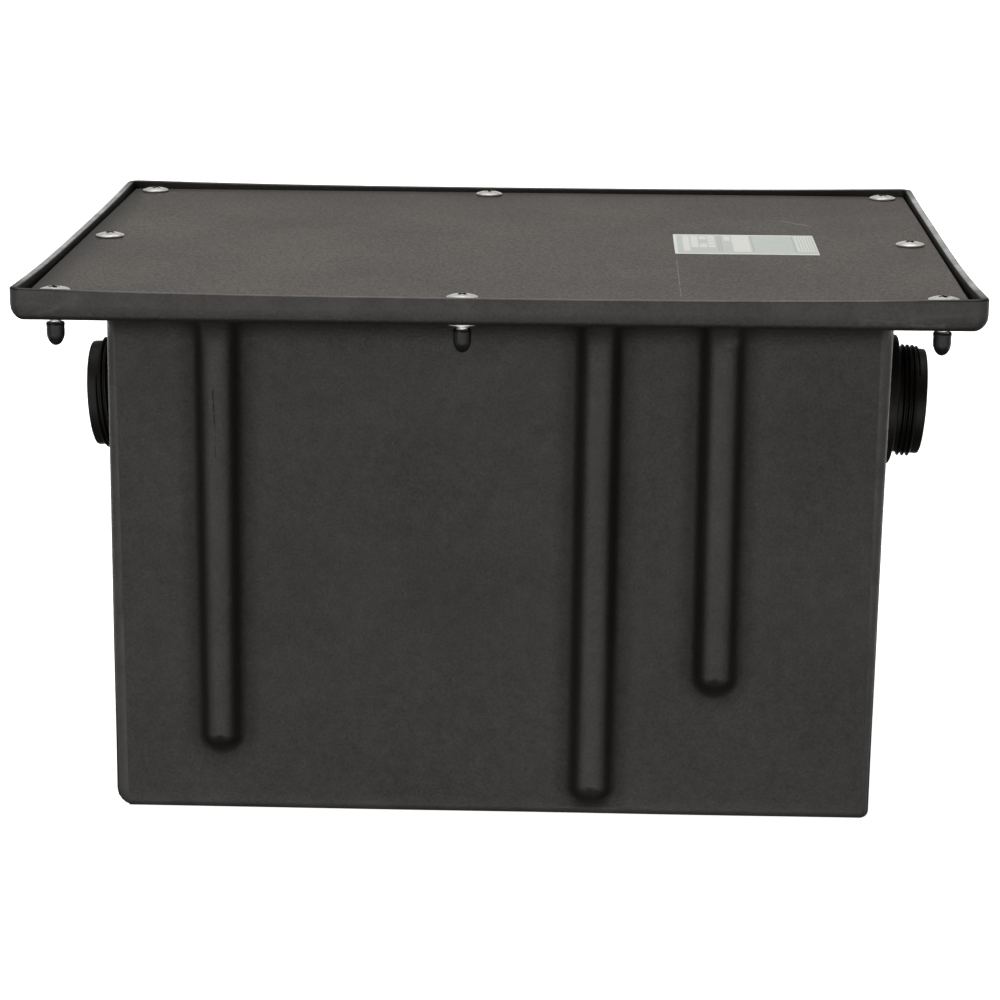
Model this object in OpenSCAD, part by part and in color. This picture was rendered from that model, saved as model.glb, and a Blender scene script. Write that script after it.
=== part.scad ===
// Under-sink grease trap: a moulded tank with slotted ribs, a screwed cover,
// two threaded pipe stubs and three lift-out baffles.
// X runs from the inlet to the outlet, Y from the front to the back, Z up.
// The origin is the centre of the tank's base.

/* [Tank] */
// Length of the rim, outside
rim_length = 460; // [420:1:520]
// Depth of the rim, outside
rim_depth = 360; // [330:1:400]
// Height from the base to the top of the lip
tank_height = 274.5; // [250:0.5:320]
// Thickness of the moulded wall
wall = 4.8; // [4:0.1:6]
// How far the rim stands out past the body on every side
overhang = 37; // [32:0.5:44]
// Draft of the body walls, in degrees
draft = 0.5; // [0.2:0.1:1]
// Radius of the body's upright corners
body_corner_r = 6; // [5:0.5:20]
// Rounding of the base edge at the inlet end
base_round_inlet = 9; // [3:0.5:10]
// Rounding of the base edge at the outlet end
base_round_outlet = 4; // [3:0.5:10]

/* [Rim] */
// Height of the rim's outer face, from the flange's underside to the lip's top
rim_height = 14; // [12:0.5:18]
// Thickness of the flange that the cover is screwed down on
flange_t = 4.8; // [4:0.1:6]
// Thickness of the upturned lip
lip_t = 3.4; // [2.8:0.1:4.5]
// Radius of the rim's corners in plan
rim_corner_r = 7.5; // [7.5:0.5:12]
// Rounding of the rim's lower outer edge
rim_edge_r = 7; // [4:0.5:7.5]
// Rounding of the lip's top edges
lip_edge_r = 1.2; // [0.6:0.1:1.3]
// Fillet between the body and the flange
flange_fillet = 4; // [2:0.5:6]

/* [Ribs] */
// Place of the inlet rib along the tank
inlet_rib_x = -136.5; // [-145:0.5:-110]
// Place of the centre rib along the tank
centre_rib_x = 50; // [20:1:60]
// Place of the outlet rib along the tank
outlet_rib_x = 110; // [100:1:120]
// Height of the inlet rib's lower end above the base
inlet_rib_end = 31.5; // [20:0.5:60]
// Height of the centre rib's lower end above the base
centre_rib_end = 7; // [6:0.5:20]
// Height of the outlet rib's lower end above the base
outlet_rib_end = 66; // [40:0.5:90]
// Width of a rib where it leaves the wall
rib_width = 23; // [21:0.5:26]
// Width of a rib across its crest
rib_crest = 13; // [12:0.5:15]
// How far a rib stands out of the wall
rib_height = 11; // [8:0.5:13]
// Rounding along a rib's crest
rib_crest_r = 7; // [1.5:0.5:8]
// Fillet along a rib's foot
rib_foot_r = 2; // [1:0.5:3]

/* [Cover] */
// Thickness of the cover plate
cover_t = 4.8; // [3:0.1:6]
// Gap between the cover's edge and the lip
cover_gap = 2; // [1.5:0.1:4]
// Radius of the cover's corners
cover_corner_r = 3; // [2:0.5:9]
// Thickness of the cover's gasket
gasket_t = 1.5; // [1:0.1:2]
// Width of the cover's gasket
gasket_width = 19; // [15:0.5:22]
// Gap between the gasket's edge and the lip
gasket_gap = 0.6; // [0.3:0.1:1.5]
// Length of the bare label on the cover
label_length = 76.5; // [60:0.5:90]
// Depth of the bare label
label_depth = 62; // [40:0.5:70]
// Thickness of the label's foil
label_t = 0.25; // [0.1:0.05:0.5]
// Distance from the cover's outlet edge to the label
label_inset = 59; // [40:0.5:70]
// Place of the label's middle across the cover
label_y = -2.5; // [-20:0.5:20]

/* [Fasteners] */
// Distance from the rim's outer face to the screws
screw_inset = 16.5; // [15:0.5:19]
// Place of the two middle screws along the tank
mid_screw_x = -16.6; // [-30:0.2:20]
// Diameter of a cover screw
screw_d = 6; // [5:0.1:6.4]
// Diameter of a screw's domed head
head_d = 15.2; // [12:0.1:16]
// Height of a screw's domed head
head_h = 3; // [2.4:0.1:4]
// Width of an arm of the cross slot
slot_w = 1.5; // [1:0.1:2]
// Length of the cross slot, tip to tip
slot_length = 7.6; // [5:0.1:9]
// Depth of the cross slot
slot_depth = 1.9; // [1:0.1:2.2]
// Diameter of a tee nut's plate
nut_plate_d = 15.5; // [13:0.1:17]
// Thickness of a tee nut's plate
nut_plate_t = 1.5; // [1:0.1:2]
// Diameter of a tee nut's barrel
nut_barrel_d = 8.8; // [8.4:0.1:9.6]
// Outside diameter of a screw cap
cap_d = 9; // [8.6:0.1:10]
// Length of a screw cap
cap_length = 13.7; // [11:0.1:18]
// Thickness of a screw cap's tip
cap_tip_t = 2.4; // [1.5:0.1:3]
// Running gap round a screw, on the radius
screw_gap = 0.3; // [0.2:0.05:0.5]
// Gap between a nut's barrel and the flange's hole, on the radius
barrel_gap = 0.1; // [0.05:0.05:0.3]

/* [Pipe stubs] */
// Drop from the flange's underside to the axis of the stubs
port_drop = 71.5; // [60:0.1:90]
// Diameter over the stub's thread
thread_d = 60.3; // [48.3:0.1:62]
// Distance between the thread's crests
thread_pitch = 2.45; // [1.8:0.05:2.8]
// Depth of the thread
thread_depth = 1.7; // [1:0.1:1.9]
// Crests on the outer end of a stub
thread_crests = 4; // [3:1:5]
// Diameter of the smooth end of a stub
pilot_d = 56.4; // [46:0.1:58]
// Length of the smooth end of a stub
pilot_length = 5; // [3:0.1:6]
// Diameter of the waterway
port_bore_d = 49.2; // [38:0.1:50]
// Diameter of the stub's collar
collar_d = 69; // [66:0.1:76]
// Length of the stub's collar
collar_length = 13.8; // [11:0.1:16]
// Length of the collar's tapered nose
collar_nose = 3; // [1.5:0.1:4]
// Reach of the stub's tail inside the tank, from the wall's seat
tail_length = 20; // [16:0.5:26]
// Thickness of the stub's gasket
stub_gasket_t = 2.5; // [1.5:0.1:3]
// Thickness of the lock nut inside the tank
locknut_t = 12; // [8:0.5:14]
// Width of the lock nut across its flats
locknut_flats = 76; // [72:0.5:84]
// Diameter of the flat seat on the end wall
port_seat_d = 84; // [80:0.5:92]
// How far the flat seat stands out of the wall at the stub's axis
port_seat_h = 0.8; // [0.5:0.1:1.5]
// Clearance round a stub in its wall and lock nut, on the radius
stub_gap = 0.3; // [0.2:0.05:0.6]

/* [Baffles] */
// Thickness of a baffle's panel
baffle_t = 5; // [4:0.5:6]
// Gap between a baffle's runners and the tank's slots
runner_gap = 0.6; // [0.3:0.1:1.2]
// How far a runner stands into the tank past the wall
runner_root = 3; // [2:0.5:6]
// Gap between a baffle's top and the cover
baffle_top_gap = 4; // [2:0.5:10]
// Diameter of the finger hole in a baffle
finger_hole_d = 26; // [20:1:30]
// Drop from a baffle's top to its finger hole
finger_hole_drop = 26; // [22:1:34]
// Diameter of the flow holes in the centre baffle
flow_hole_d = 32; // [20:1:36]
// Distance between the flow holes
flow_hole_pitch = 48; // [42:1:50]
// Flow holes in the centre baffle
flow_holes = 5; // [3:2:5]
// Height of the flow holes above the base
flow_hole_z = 70; // [50:1:100]

/* [Hidden] */

// Overlap that lets a cut run clear of a face or two solids run into each other
eps = 0.01;
// Run-out of a cut past the face it opens
run_out = 2;
// Points on a quarter of a modelled round
arc_steps = 8;
// Facets of a full round
round_fn = 64;
// Facets of a round inside a hull
hull_fn = 32;

// Levels, from the base up
flange_z = tank_height - rim_height;
seat_z = flange_z + flange_t;
cover_z = seat_z + gasket_t;
cover_top_z = cover_z + cover_t;
port_z = flange_z - port_drop;

// Half sizes of the body, under the flange and at the base
body_x = rim_length / 2 - overhang;
body_y = rim_depth / 2 - overhang;
lean = tan(draft);
base_x = body_x - flange_z * lean;
base_y = body_y - flange_z * lean;

// Lip and cover
lip_x = rim_length / 2 - lip_t;
lip_y = rim_depth / 2 - lip_t;
cover_x = lip_x - cover_gap;
cover_y = lip_y - cover_gap;
label_x = cover_x - label_inset - label_length / 2;

// Screws: the four corners and one in the middle of each side
screw_x = rim_length / 2 - screw_inset;
screw_y = rim_depth / 2 - screw_inset;
screw_places = [
    [-screw_x, -screw_y], [mid_screw_x, -screw_y], [screw_x, -screw_y],
    [-screw_x, 0], [screw_x, 0],
    [-screw_x, screw_y], [mid_screw_x, screw_y], [screw_x, screw_y]
];
nut_bore_r = screw_d / 2 + screw_gap;
barrel_top_z = seat_z - nut_plate_t / 5;
cap_top_z = flange_z - nut_plate_t;
cap_bore_end_z = cap_top_z - cap_length + cap_tip_t;
screw_tip_z = cap_bore_end_z + screw_gap;

// Ribs
rib_half = rib_width / 2;
crest_half = rib_crest / 2;
rib_slope = atan((rib_half - crest_half) / rib_height);
// Half width of the slot inside a rib, at a height above the wall's outer face
function slot_half(h) = rib_half - h * tan(rib_slope) - wall / cos(rib_slope);

// Pipe stubs, as distances along X from the tank's middle
port_wall_x = body_x - port_drop * lean;
seat_x = port_wall_x + port_seat_h;
inner_seat_x = port_wall_x - wall - port_seat_h;
collar_x = seat_x + stub_gasket_t;
thread_x = collar_x + collar_length;
pilot_x = thread_x + thread_crests * thread_pitch;
stub_end_x = pilot_x + pilot_length;
tail_x = inner_seat_x - tail_length;
thread_r = thread_d / 2;
pilot_chamfer = 0.8;

plastic = "#3c3c3a";
cover_grey = "#65615b";
stub_black = "#1c1b19";
steel = "#c9c9c6";

// Points on an arc about a centre, from one angle to another
function arc(c, r, from, to) =
    [for (i = [0:arc_steps]) let (a = from + (to - from) * i / arc_steps)
        c + r * [cos(a), sin(a)]];

// A rectangle with round corners, given its half sizes
module round_rect(x, y, r) {
    square([2 * x, 2 * (y - r)], center = true);
    square([2 * (x - r), 2 * y], center = true);
    for (sx = [-1, 1], sy = [-1, 1])
        translate([sx * (x - r), sy * (y - r)])
            circle(r, $fn = round_fn);
}

// Sweeps a profile round a rectangle: the profile's x is measured outwards
// from the centre of a corner of radius r, on a rectangle of half sizes x, y
module swept_frame(x, y, r) {
    for (side = [0, 180])
        rotate(side) {
            translate([x - r, y - r, 0])
                rotate([90, 0, 0])
                    linear_extrude(2 * (y - r))
                        children();
            translate([-(x - r), y - r, 0])
                rotate([90, 0, 90])
                    linear_extrude(2 * (x - r))
                        children();
        }
    for (sx = [0, 1], sy = [0, 1])
        mirror([sx, 0, 0])
            mirror([0, sy, 0])
                translate([x - r, y - r, 0])
                    rotate_extrude(angle = 90, $fn = round_fn)
                        children();
}

// A round hole from one level to another, with run-out at both ends
module drill(r, from, to) {
    translate([0, 0, from - run_out])
        cylinder(h = to - from + 2 * run_out, r = r, $fn = round_fn);
}

// Carries a piece out to every screw
module at_screws() {
    for (p = screw_places)
        translate([p[0], p[1], 0])
            children();
}

// Places a piece on the front and the back wall, in the wall's own frame:
// -Y out of the wall, Z up along it, the origin at the wall's top edge
module on_long_walls(x) {
    for (back = [0, 1])
        mirror([0, back, 0])
            translate([x, -body_y, flange_z])
                rotate([draft, 0, 0])
                    children();
}

// Places a revolved piece on the axis of a stub: Z runs out of the tank
module on_port(side) {
    translate([0, 0, port_z])
        rotate([0, side * 90, 0])
            children();
}

// The drafted body as one solid, grown inwards by inset
module body_block(inset, top_z, floor_z) {
    r = max(body_corner_r - inset, 0.5);
    grow = (top_z - flange_z) * lean;
    side = inset + r;
    hull()
        for (sx = [-1, 1], sy = [-1, 1]) {
            edge_r = max((sx < 0 ? base_round_inlet : base_round_outlet) - inset, 1);
            for (p = arc([-edge_r, edge_r], edge_r, -90, 0))
                translate([sx * (base_x - side + p[0]), sy * (base_y - side + p[0]), floor_z + p[1]])
                    cylinder(h = eps, r = r, $fn = hull_fn);
            translate([sx * (body_x + grow - side), sy * (body_y + grow - side), top_z - 1])
                cylinder(h = 1, r = r, $fn = hull_fn);
        }
}

// Half of the rim's section: flange edge, rounded outer corner and lip
module rim_profile() {
    r = rim_corner_r;
    polygon(concat(
        [[0, flange_z]],
        arc([r - rim_edge_r, flange_z + rim_edge_r], rim_edge_r, -90, 0),
        arc([r - lip_edge_r, tank_height - lip_edge_r], lip_edge_r, 0, 90),
        arc([r - lip_t + lip_edge_r, tank_height - lip_edge_r], lip_edge_r, 90, 180),
        [[r - lip_t, seat_z], [0, seat_z]]));
}

// Section of the fillet between the body's wall and the flange
module fillet_profile() {
    r = body_corner_r;
    polygon(concat(
        arc([r + flange_fillet, flange_z - flange_fillet], flange_fillet, 180, 90),
        [[r - wall / 2, flange_z], [r - wall / 2, flange_z - flange_fillet]]));
}

// A round-ended bar on a wall: its section is extruded from the end's centre
// to a height above the flange's underside, and revolved at the lower end
module round_bar(end_z, top_z, points) {
    centre_z = (end_z + rib_half - flange_z) / cos(draft);
    mirrored = [for (i = [len(points) - 1:-1:0]) [-points[i][0], points[i][1]]];
    translate([0, 0, centre_z])
        mirror([0, 1, 0])
            linear_extrude((top_z - flange_z) / cos(draft) - centre_z)
                polygon(concat(points, mirrored));
    translate([0, 0, centre_z])
        rotate([90, 0, 0])
            rotate_extrude($fn = round_fn)
                polygon(concat(points, [[0, points[len(points) - 1][1]], [0, points[0][1]]]));
}

// Half of a rib's section, from inside the wall to the middle of the crest
function rib_points() =
    let (foot = [rib_half + rib_foot_r * tan(45 - rib_slope / 2), rib_foot_r],
        crest_run = rib_crest_r * tan(45 - rib_slope / 2),
        crest = [crest_half - crest_run, rib_height - rib_crest_r])
    concat(
        [[foot[0], -wall / 2]],
        arc(foot, rib_foot_r, 270, 180 + rib_slope),
        arc(crest, rib_crest_r, rib_slope, 90));

// Half of a slot's section, or of the runner that fills it with a gap all round
function slot_points(root, gap) =
    let (low = -wall - root,
        high = rib_height - wall - gap)
    [[slot_half(-wall) - gap, low], [slot_half(-wall) - gap, -wall], [slot_half(high) - gap, high]];

module rib(x, end_z) {
    on_long_walls(x)
        round_bar(end_z, flange_z + flange_t / 2, rib_points());
}

module slot(x, end_z) {
    on_long_walls(x)
        round_bar(end_z, seat_z + run_out, slot_points(run_out, 0));
}

// A flat seat on each face of the end wall, square to the stub
module port_seat(side) {
    on_port(side)
        translate([0, 0, inner_seat_x])
            cylinder(h = seat_x - inner_seat_x, d = port_seat_d, $fn = round_fn);
}

module tank() {
    color(plastic)
        difference() {
            union() {
                difference() {
                    union() {
                        body_block(0, seat_z, 0);
                        swept_frame(rim_length / 2, rim_depth / 2, rim_corner_r)
                            rim_profile();
                        translate([0, 0, flange_z])
                            linear_extrude(flange_t)
                                square([rim_length - 2 * rim_corner_r + eps,
                                    rim_depth - 2 * rim_corner_r + eps], center = true);
                        swept_frame(body_x, body_y, body_corner_r)
                            fillet_profile();
                        rib(inlet_rib_x, inlet_rib_end);
                        rib(centre_rib_x, centre_rib_end);
                        rib(outlet_rib_x, outlet_rib_end);
                    }
                    body_block(wall, seat_z + run_out, wall);
                }
                port_seat(-1);
                port_seat(1);
            }
            slot(inlet_rib_x, inlet_rib_end);
            slot(centre_rib_x, centre_rib_end);
            slot(outlet_rib_x, outlet_rib_end);
            for (side = [-1, 1])
                on_port(side)
                    drill(thread_r + stub_gap, inner_seat_x, seat_x);
            at_screws()
                drill(nut_barrel_d / 2 + barrel_gap, flange_z, seat_z);
        }
}

module cover() {
    color(cover_grey)
        difference() {
            translate([0, 0, cover_z])
                linear_extrude(cover_t)
                    round_rect(cover_x, cover_y, cover_corner_r);
            at_screws()
                drill(nut_bore_r, cover_z, cover_top_z);
        }
}

module cover_gasket() {
    gasket_x = lip_x - gasket_gap;
    gasket_y = lip_y - gasket_gap;
    color("#242424")
        difference() {
            translate([0, 0, seat_z])
                linear_extrude(gasket_t)
                    difference() {
                        round_rect(gasket_x, gasket_y, cover_corner_r + cover_gap - gasket_gap);
                        round_rect(gasket_x - gasket_width, gasket_y - gasket_width, body_corner_r);
                    }
            at_screws()
                drill(nut_bore_r, seat_z, cover_z);
        }
}

module rating_label() {
    color("#aeb4ae")
        translate([label_x, label_y, cover_top_z + label_t / 2])
            cube([label_length, label_depth, label_t], center = true);
}

// A domed cross-slot screw: the dome is a cap of a sphere
module cover_screw() {
    head_r = head_d / 2;
    dome_r = (head_r * head_r + head_h * head_h) / (2 * head_h);
    dome_z = cover_top_z + head_h - dome_r;
    difference() {
        union() {
            intersection() {
                translate([0, 0, dome_z])
                    sphere(dome_r, $fn = round_fn);
                translate([0, 0, cover_top_z])
                    cylinder(h = head_h, r = head_r + run_out, $fn = round_fn);
            }
            translate([0, 0, screw_tip_z])
                cylinder(h = cover_top_z - screw_tip_z + head_h / 3, d = screw_d, $fn = round_fn);
        }
        for (turn = [0, 90])
            translate([0, 0, cover_top_z + head_h - slot_depth / 2 + eps])
                rotate(turn + 45)
                    cube([slot_length, slot_w, slot_depth], center = true);
    }
}

module cover_screws() {
    color(steel)
        at_screws()
            cover_screw();
}

module tee_nuts() {
    color(steel)
        at_screws()
            difference() {
                union() {
                    translate([0, 0, cap_top_z])
                        cylinder(h = nut_plate_t, d = nut_plate_d, $fn = round_fn);
                    translate([0, 0, cap_top_z])
                        cylinder(h = barrel_top_z - cap_top_z, d = nut_barrel_d, $fn = round_fn);
                }
                drill(nut_bore_r, cap_top_z, barrel_top_z);
            }
}

// A pushed-on cap with a round tip
module screw_caps() {
    r = cap_d / 2;
    color("#161616")
        at_screws()
            difference() {
                union() {
                    translate([0, 0, cap_top_z - cap_length + r])
                        cylinder(h = cap_length - r, r = r, $fn = round_fn);
                    translate([0, 0, cap_top_z - cap_length + r])
                        sphere(r, $fn = round_fn);
                }
                translate([0, 0, cap_bore_end_z])
                    cylinder(h = cap_length, r = nut_bore_r, $fn = round_fn);
            }
}

// Section of a stub, bore side first: tail, collar with a tapered nose,
// saw-tooth thread and smooth end
module stub_profile() {
    bore_r = port_bore_d / 2;
    root_r = thread_r - thread_depth;
    collar_r = collar_d / 2;
    crests = [for (i = [0:thread_crests - 1])
        each [[root_r, thread_x + i * thread_pitch],
            [thread_r, thread_x + (i + 0.75) * thread_pitch]]];
    polygon(concat(
        [[bore_r, tail_x], [thread_r, tail_x], [thread_r, collar_x], [collar_r, collar_x],
            [collar_r, thread_x - collar_nose], [thread_r + thread_depth / 2, thread_x]],
        crests,
        [[pilot_d / 2, pilot_x], [pilot_d / 2, stub_end_x - pilot_chamfer],
            [pilot_d / 2 - pilot_chamfer, stub_end_x], [bore_r, stub_end_x]]));
}

module stub(side) {
    color(stub_black)
        on_port(side)
            rotate_extrude($fn = round_fn)
                stub_profile();
}

module stub_gasket(side) {
    color("#242424")
        on_port(side)
            difference() {
                translate([0, 0, seat_x])
                    cylinder(h = stub_gasket_t, d = collar_d, $fn = round_fn);
                drill(thread_r + stub_gap, seat_x, collar_x);
            }
}

module locknut(side) {
    color(stub_black)
        on_port(side)
            difference() {
                translate([0, 0, inner_seat_x - locknut_t])
                    cylinder(h = locknut_t, d = locknut_flats / cos(30), $fn = 6);
                drill(thread_r + stub_gap, inner_seat_x - locknut_t, inner_seat_x);
            }
}

// A lift-out panel with a round-ended runner along each upright edge
module baffle(x, end_z) {
    top_z = cover_z - baffle_top_gap;
    foot_z = end_z + rib_half;
    // half depth of the tank's inside at a level, out to the middle of the runners
    function reach(z) = body_y - wall - (flange_z - z) * lean - runner_root / 2;
    color("#4a4a48")
        difference() {
            union() {
                on_long_walls(x)
                    round_bar(end_z, top_z, slot_points(runner_root, runner_gap));
                translate([x - baffle_t / 2, 0, 0])
                    rotate([90, 0, 90])
                        linear_extrude(baffle_t)
                            polygon([[-reach(foot_z), foot_z], [reach(foot_z), foot_z],
                                [reach(top_z), top_z], [-reach(top_z), top_z]]);
            }
            translate([x, 0, top_z - finger_hole_drop])
                rotate([0, 90, 0])
                    cylinder(h = baffle_t + 2 * run_out, d = finger_hole_d, center = true, $fn = round_fn);
        }
}

// The centre baffle stands on the floor, so it has a row of flow holes
module centre_baffle() {
    difference() {
        baffle(centre_rib_x, centre_rib_end);
        for (i = [0:flow_holes - 1])
            translate([centre_rib_x, (i - (flow_holes - 1) / 2) * flow_hole_pitch, flow_hole_z])
                rotate([0, 90, 0])
                    cylinder(h = baffle_t + 2 * run_out, d = flow_hole_d, center = true, $fn = round_fn);
    }
}

tank();
cover();
cover_gasket();
rating_label();
cover_screws();
tee_nuts();
screw_caps();
stub(-1);  // inlet_stub
stub(1);  // outlet_stub
stub_gasket(-1);  // inlet_gasket
stub_gasket(1);  // outlet_gasket
locknut(-1);  // inlet_locknut
locknut(1);  // outlet_locknut
baffle(inlet_rib_x, inlet_rib_end);  // inlet_baffle
centre_baffle();
baffle(outlet_rib_x, outlet_rib_end);  // outlet_baffle
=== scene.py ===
"""Dresses the grease trap: moulded tank, screwed cover, pipe stubs, baffles and the studio round them.

Pieces are modelled in millimetres in the part's own frame: X from the inlet to the outlet, Y from the
front to the back, Z up, the origin at the centre of the tank's base.
"""

import logging
import math
from collections.abc import Iterable
from dataclasses import dataclass, field
from enum import Enum

import bmesh
import bpy
from mathutils import Matrix, Vector, noise


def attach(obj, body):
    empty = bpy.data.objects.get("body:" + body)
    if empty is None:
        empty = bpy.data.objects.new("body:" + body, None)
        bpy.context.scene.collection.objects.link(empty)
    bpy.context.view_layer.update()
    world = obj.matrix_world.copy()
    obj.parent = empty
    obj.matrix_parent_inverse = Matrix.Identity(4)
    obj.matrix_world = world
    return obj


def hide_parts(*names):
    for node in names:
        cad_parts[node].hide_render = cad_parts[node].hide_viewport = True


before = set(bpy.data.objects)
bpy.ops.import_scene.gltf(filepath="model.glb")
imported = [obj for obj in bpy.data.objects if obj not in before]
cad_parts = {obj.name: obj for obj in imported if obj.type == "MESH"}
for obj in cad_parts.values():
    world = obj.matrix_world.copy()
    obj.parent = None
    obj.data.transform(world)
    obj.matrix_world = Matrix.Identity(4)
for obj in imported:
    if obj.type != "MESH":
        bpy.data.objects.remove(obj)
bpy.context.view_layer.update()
MM = 0.001
TURN = 2.0 * math.pi
Place = tuple[float, float, float]
Span = tuple[float, float]
Socket = bpy.types.NodeSocket
log = logging.getLogger("grease_trap")


class Body(Enum):
    """The part's two bodies."""

    TANK = "tank"
    COVER = "cover"


class Slot(Enum):
    """The record's material slots, handed to the new pieces but not used."""

    TANK = "tank_plastic"
    COVER = "cover_plastic"
    LABEL = "label_foil"
    STEEL = "screw_steel"
    CAP = "cap_vinyl"
    STUB = "stub_plastic"


class Side(Enum):
    """The tank's two ends, by the sign of X."""

    INLET = -1
    OUTLET = 1


class Outline(Enum):
    """The two outlines that the tank's skin follows."""

    BODY = "body"
    RIM = "rim"


class Cut(Enum):
    """What a Boolean does with its cutter."""

    TAKE = "DIFFERENCE"
    JOIN = "UNION"


class Eased(Enum):
    """What a rounding is put on."""

    CORNERS = "VERTICES"
    EDGES = "EDGES"


def linear(hex_colour: str) -> tuple[float, float, float, float]:
    """Turns an sRGB hex colour into the linear colour that a socket takes.

    Args:
        hex_colour: A colour such as "#3c3c3a".

    Returns:
        Linear red, green and blue, and an alpha of 1.
    """
    parts = [int(hex_colour[i:i + 2], 16) / 255.0 for i in (1, 3, 5)]
    red, green, blue = [c / 12.92 if c <= 0.04045 else ((c + 0.055) / 1.055) ** 2.4 for c in parts]
    return red, green, blue, 1.0


def per_mm(size: float) -> float:
    """Gives the texture scale whose features are about that many millimetres across."""
    return 1.0 / (size * MM)


class Surface:
    """A material in the making: its tree, its shader and the piece's own coordinates."""

    def __init__(self, name: str, **values: float | tuple) -> None:
        """Starts a material.

        Args:
            name: The material's name.
            **values: Uniform values for the shader's sockets, with underscores for spaces.
        """
        self.material = bpy.data.materials.new(name)
        self.material.use_nodes = True
        self.tree = self.material.node_tree
        self.shader = self.tree.nodes["Principled BSDF"]
        self.place = self.add("TexCoord", out="Object")
        for key, value in values.items():
            self.shader.inputs[key.replace("_", " ")].default_value = value

    def add(self, kind: str, inputs: dict | None = None, out: int | str = 0, **settings: str) -> Socket:
        """Adds a node with its settings, values and links.

        Args:
            kind: The node's type, without the ShaderNode that every type starts with.
            inputs: Values, or sockets to link, by the input's name or number.
            out: Name or number of the output that is wanted.
            **settings: The node's own properties.

        Returns:
            The wanted output.
        """
        node = self.tree.nodes.new(f"ShaderNode{kind}")
        for name, value in settings.items():
            setattr(node, name, value)
        for key, value in (inputs or {}).items():
            if isinstance(value, Socket):
                self.tree.links.new(value, node.inputs[key])
            else:
                node.inputs[key].default_value = value
        return node.outputs[out]

    def most_of(self, masks: list[Socket]) -> Socket:
        """Joins masks into one by taking the strongest.

        Args:
            masks: The masks.

        Returns:
            Their maximum.
        """
        whole = masks[0]
        for mask in masks[1:]:
            whole = self.add("Math", {0: whole, 1: mask}, operation="MAXIMUM")
        return whole

    def finish(
        self,
        colour: str,
        coats: Iterable[tuple[Socket, str]],
        rough: tuple[Socket, float, float] | None = None,
        bumps: Iterable[tuple[Socket, float, float]] = (),
        reach: Span = (0.3, 0.7),
        **others: Socket,
    ) -> bpy.types.Material:
        """Lays the colours over one another, roughens the skin and hands the material over.

        Args:
            colour: The ground colour.
            coats: Masks with the colours that lie over the ground, the lowest first.
            rough: The pattern that the roughness follows, with its lowest and highest value.
            bumps: Heights with their strength and their depth in millimetres, the coarsest first.
            reach: Values of the pattern at which the roughness is lowest and highest.
            **others: Sockets for other inputs of the shader, with underscores for spaces.

        Returns:
            The finished material.
        """
        under: Socket | tuple = linear(colour)
        for mask, over in coats:
            under = self.add("Mix", {0: mask, 6: under, 7: linear(over)}, 2, data_type="RGBA")
        links = {"Base Color": under}
        for height, strength, depth in bumps:
            relief = {"Height": height, "Strength": strength, "Distance": depth * MM}
            if "Normal" in links:
                relief["Normal"] = links["Normal"]
            links["Normal"] = self.add("Bump", relief)
        if rough:
            values = {"Value": rough[0], 1: reach[0], 2: reach[1], 3: rough[1], 4: rough[2]}
            links["Roughness"] = self.add("MapRange", values)
        for key, socket in (links | others).items():
            self.tree.links.new(socket, self.shader.inputs[key.replace("_", " ")])
        return self.material


@dataclass(frozen=True)
class Mark:
    """A straight scratch, rule or smear on a flat surface, in millimetres.

    Attributes:
        centre: Its middle.
        length: Its length along its own X.
        width: Its width.
        spin: Its turn about the surface's normal, in degrees.
        upright: True on a wall that faces front or back, False on a level surface.
        ragged: How far noise eats into its outline, from 0 to 1.
        depth: How far it reaches to each side of its middle, through the surface.
        least_fade: Least width over which its edges fade.
    """

    centre: Place
    length: float
    width: float
    spin: float = 0.0
    upright: bool = False
    ragged: float = 0.0
    depth: float = 15.0
    least_fade: float = 0.02

    def mask(self, surface: Surface, soft: float = 0.15) -> Socket:
        """Draws the mark as a mask.

        Args:
            surface: The material that it is drawn in.
            soft: Share of the width over which its edges fade.

        Returns:
            A socket that is 1 on the mark and 0 elsewhere.
        """
        add = surface.add
        angle = math.radians(self.spin)
        turn = (0.0, angle, 0.0) if self.upright else (0.0, 0.0, angle)
        place = {"Vector": surface.place, "Location": Vector(self.centre) * MM, "Rotation": turn}
        local = add("Mapping", place, vector_type="TEXTURE")
        axes = add("SeparateXYZ", {0: local}).node.outputs
        across, through = ("Z", "Y") if self.upright else ("Y", "Z")
        edge = max(self.width * soft, self.least_fade)
        shares = []
        for axis, half in (("X", self.length / 2.0), (across, self.width / 2.0), (through, self.depth)):
            away = add("Math", {0: axes[axis]}, operation="ABSOLUTE")
            fade = {"Value": away, 1: (half + edge) * MM, 2: (half - edge) * MM, 3: 0.0, 4: 1.0}
            shares.append(add("MapRange", fade, interpolation_type="SMOOTHSTEP"))
        if self.ragged:
            drawn = add("Mapping", {"Vector": local, "Scale": (0.22, 1.0, 1.0)})
            bits = add("TexNoise", {"Vector": drawn, "Scale": per_mm(1.1), "Detail": 4.0})
            keep = {"Value": bits, 1: 0.36, 2: 0.7, 3: 1.0 - self.ragged, 4: 1.0}
            shares.append(add("MapRange", keep))
        whole = shares[0]
        for share in shares[1:]:
            whole = add("Math", {0: whole, 1: share}, operation="MULTIPLY")
        return whole


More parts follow.
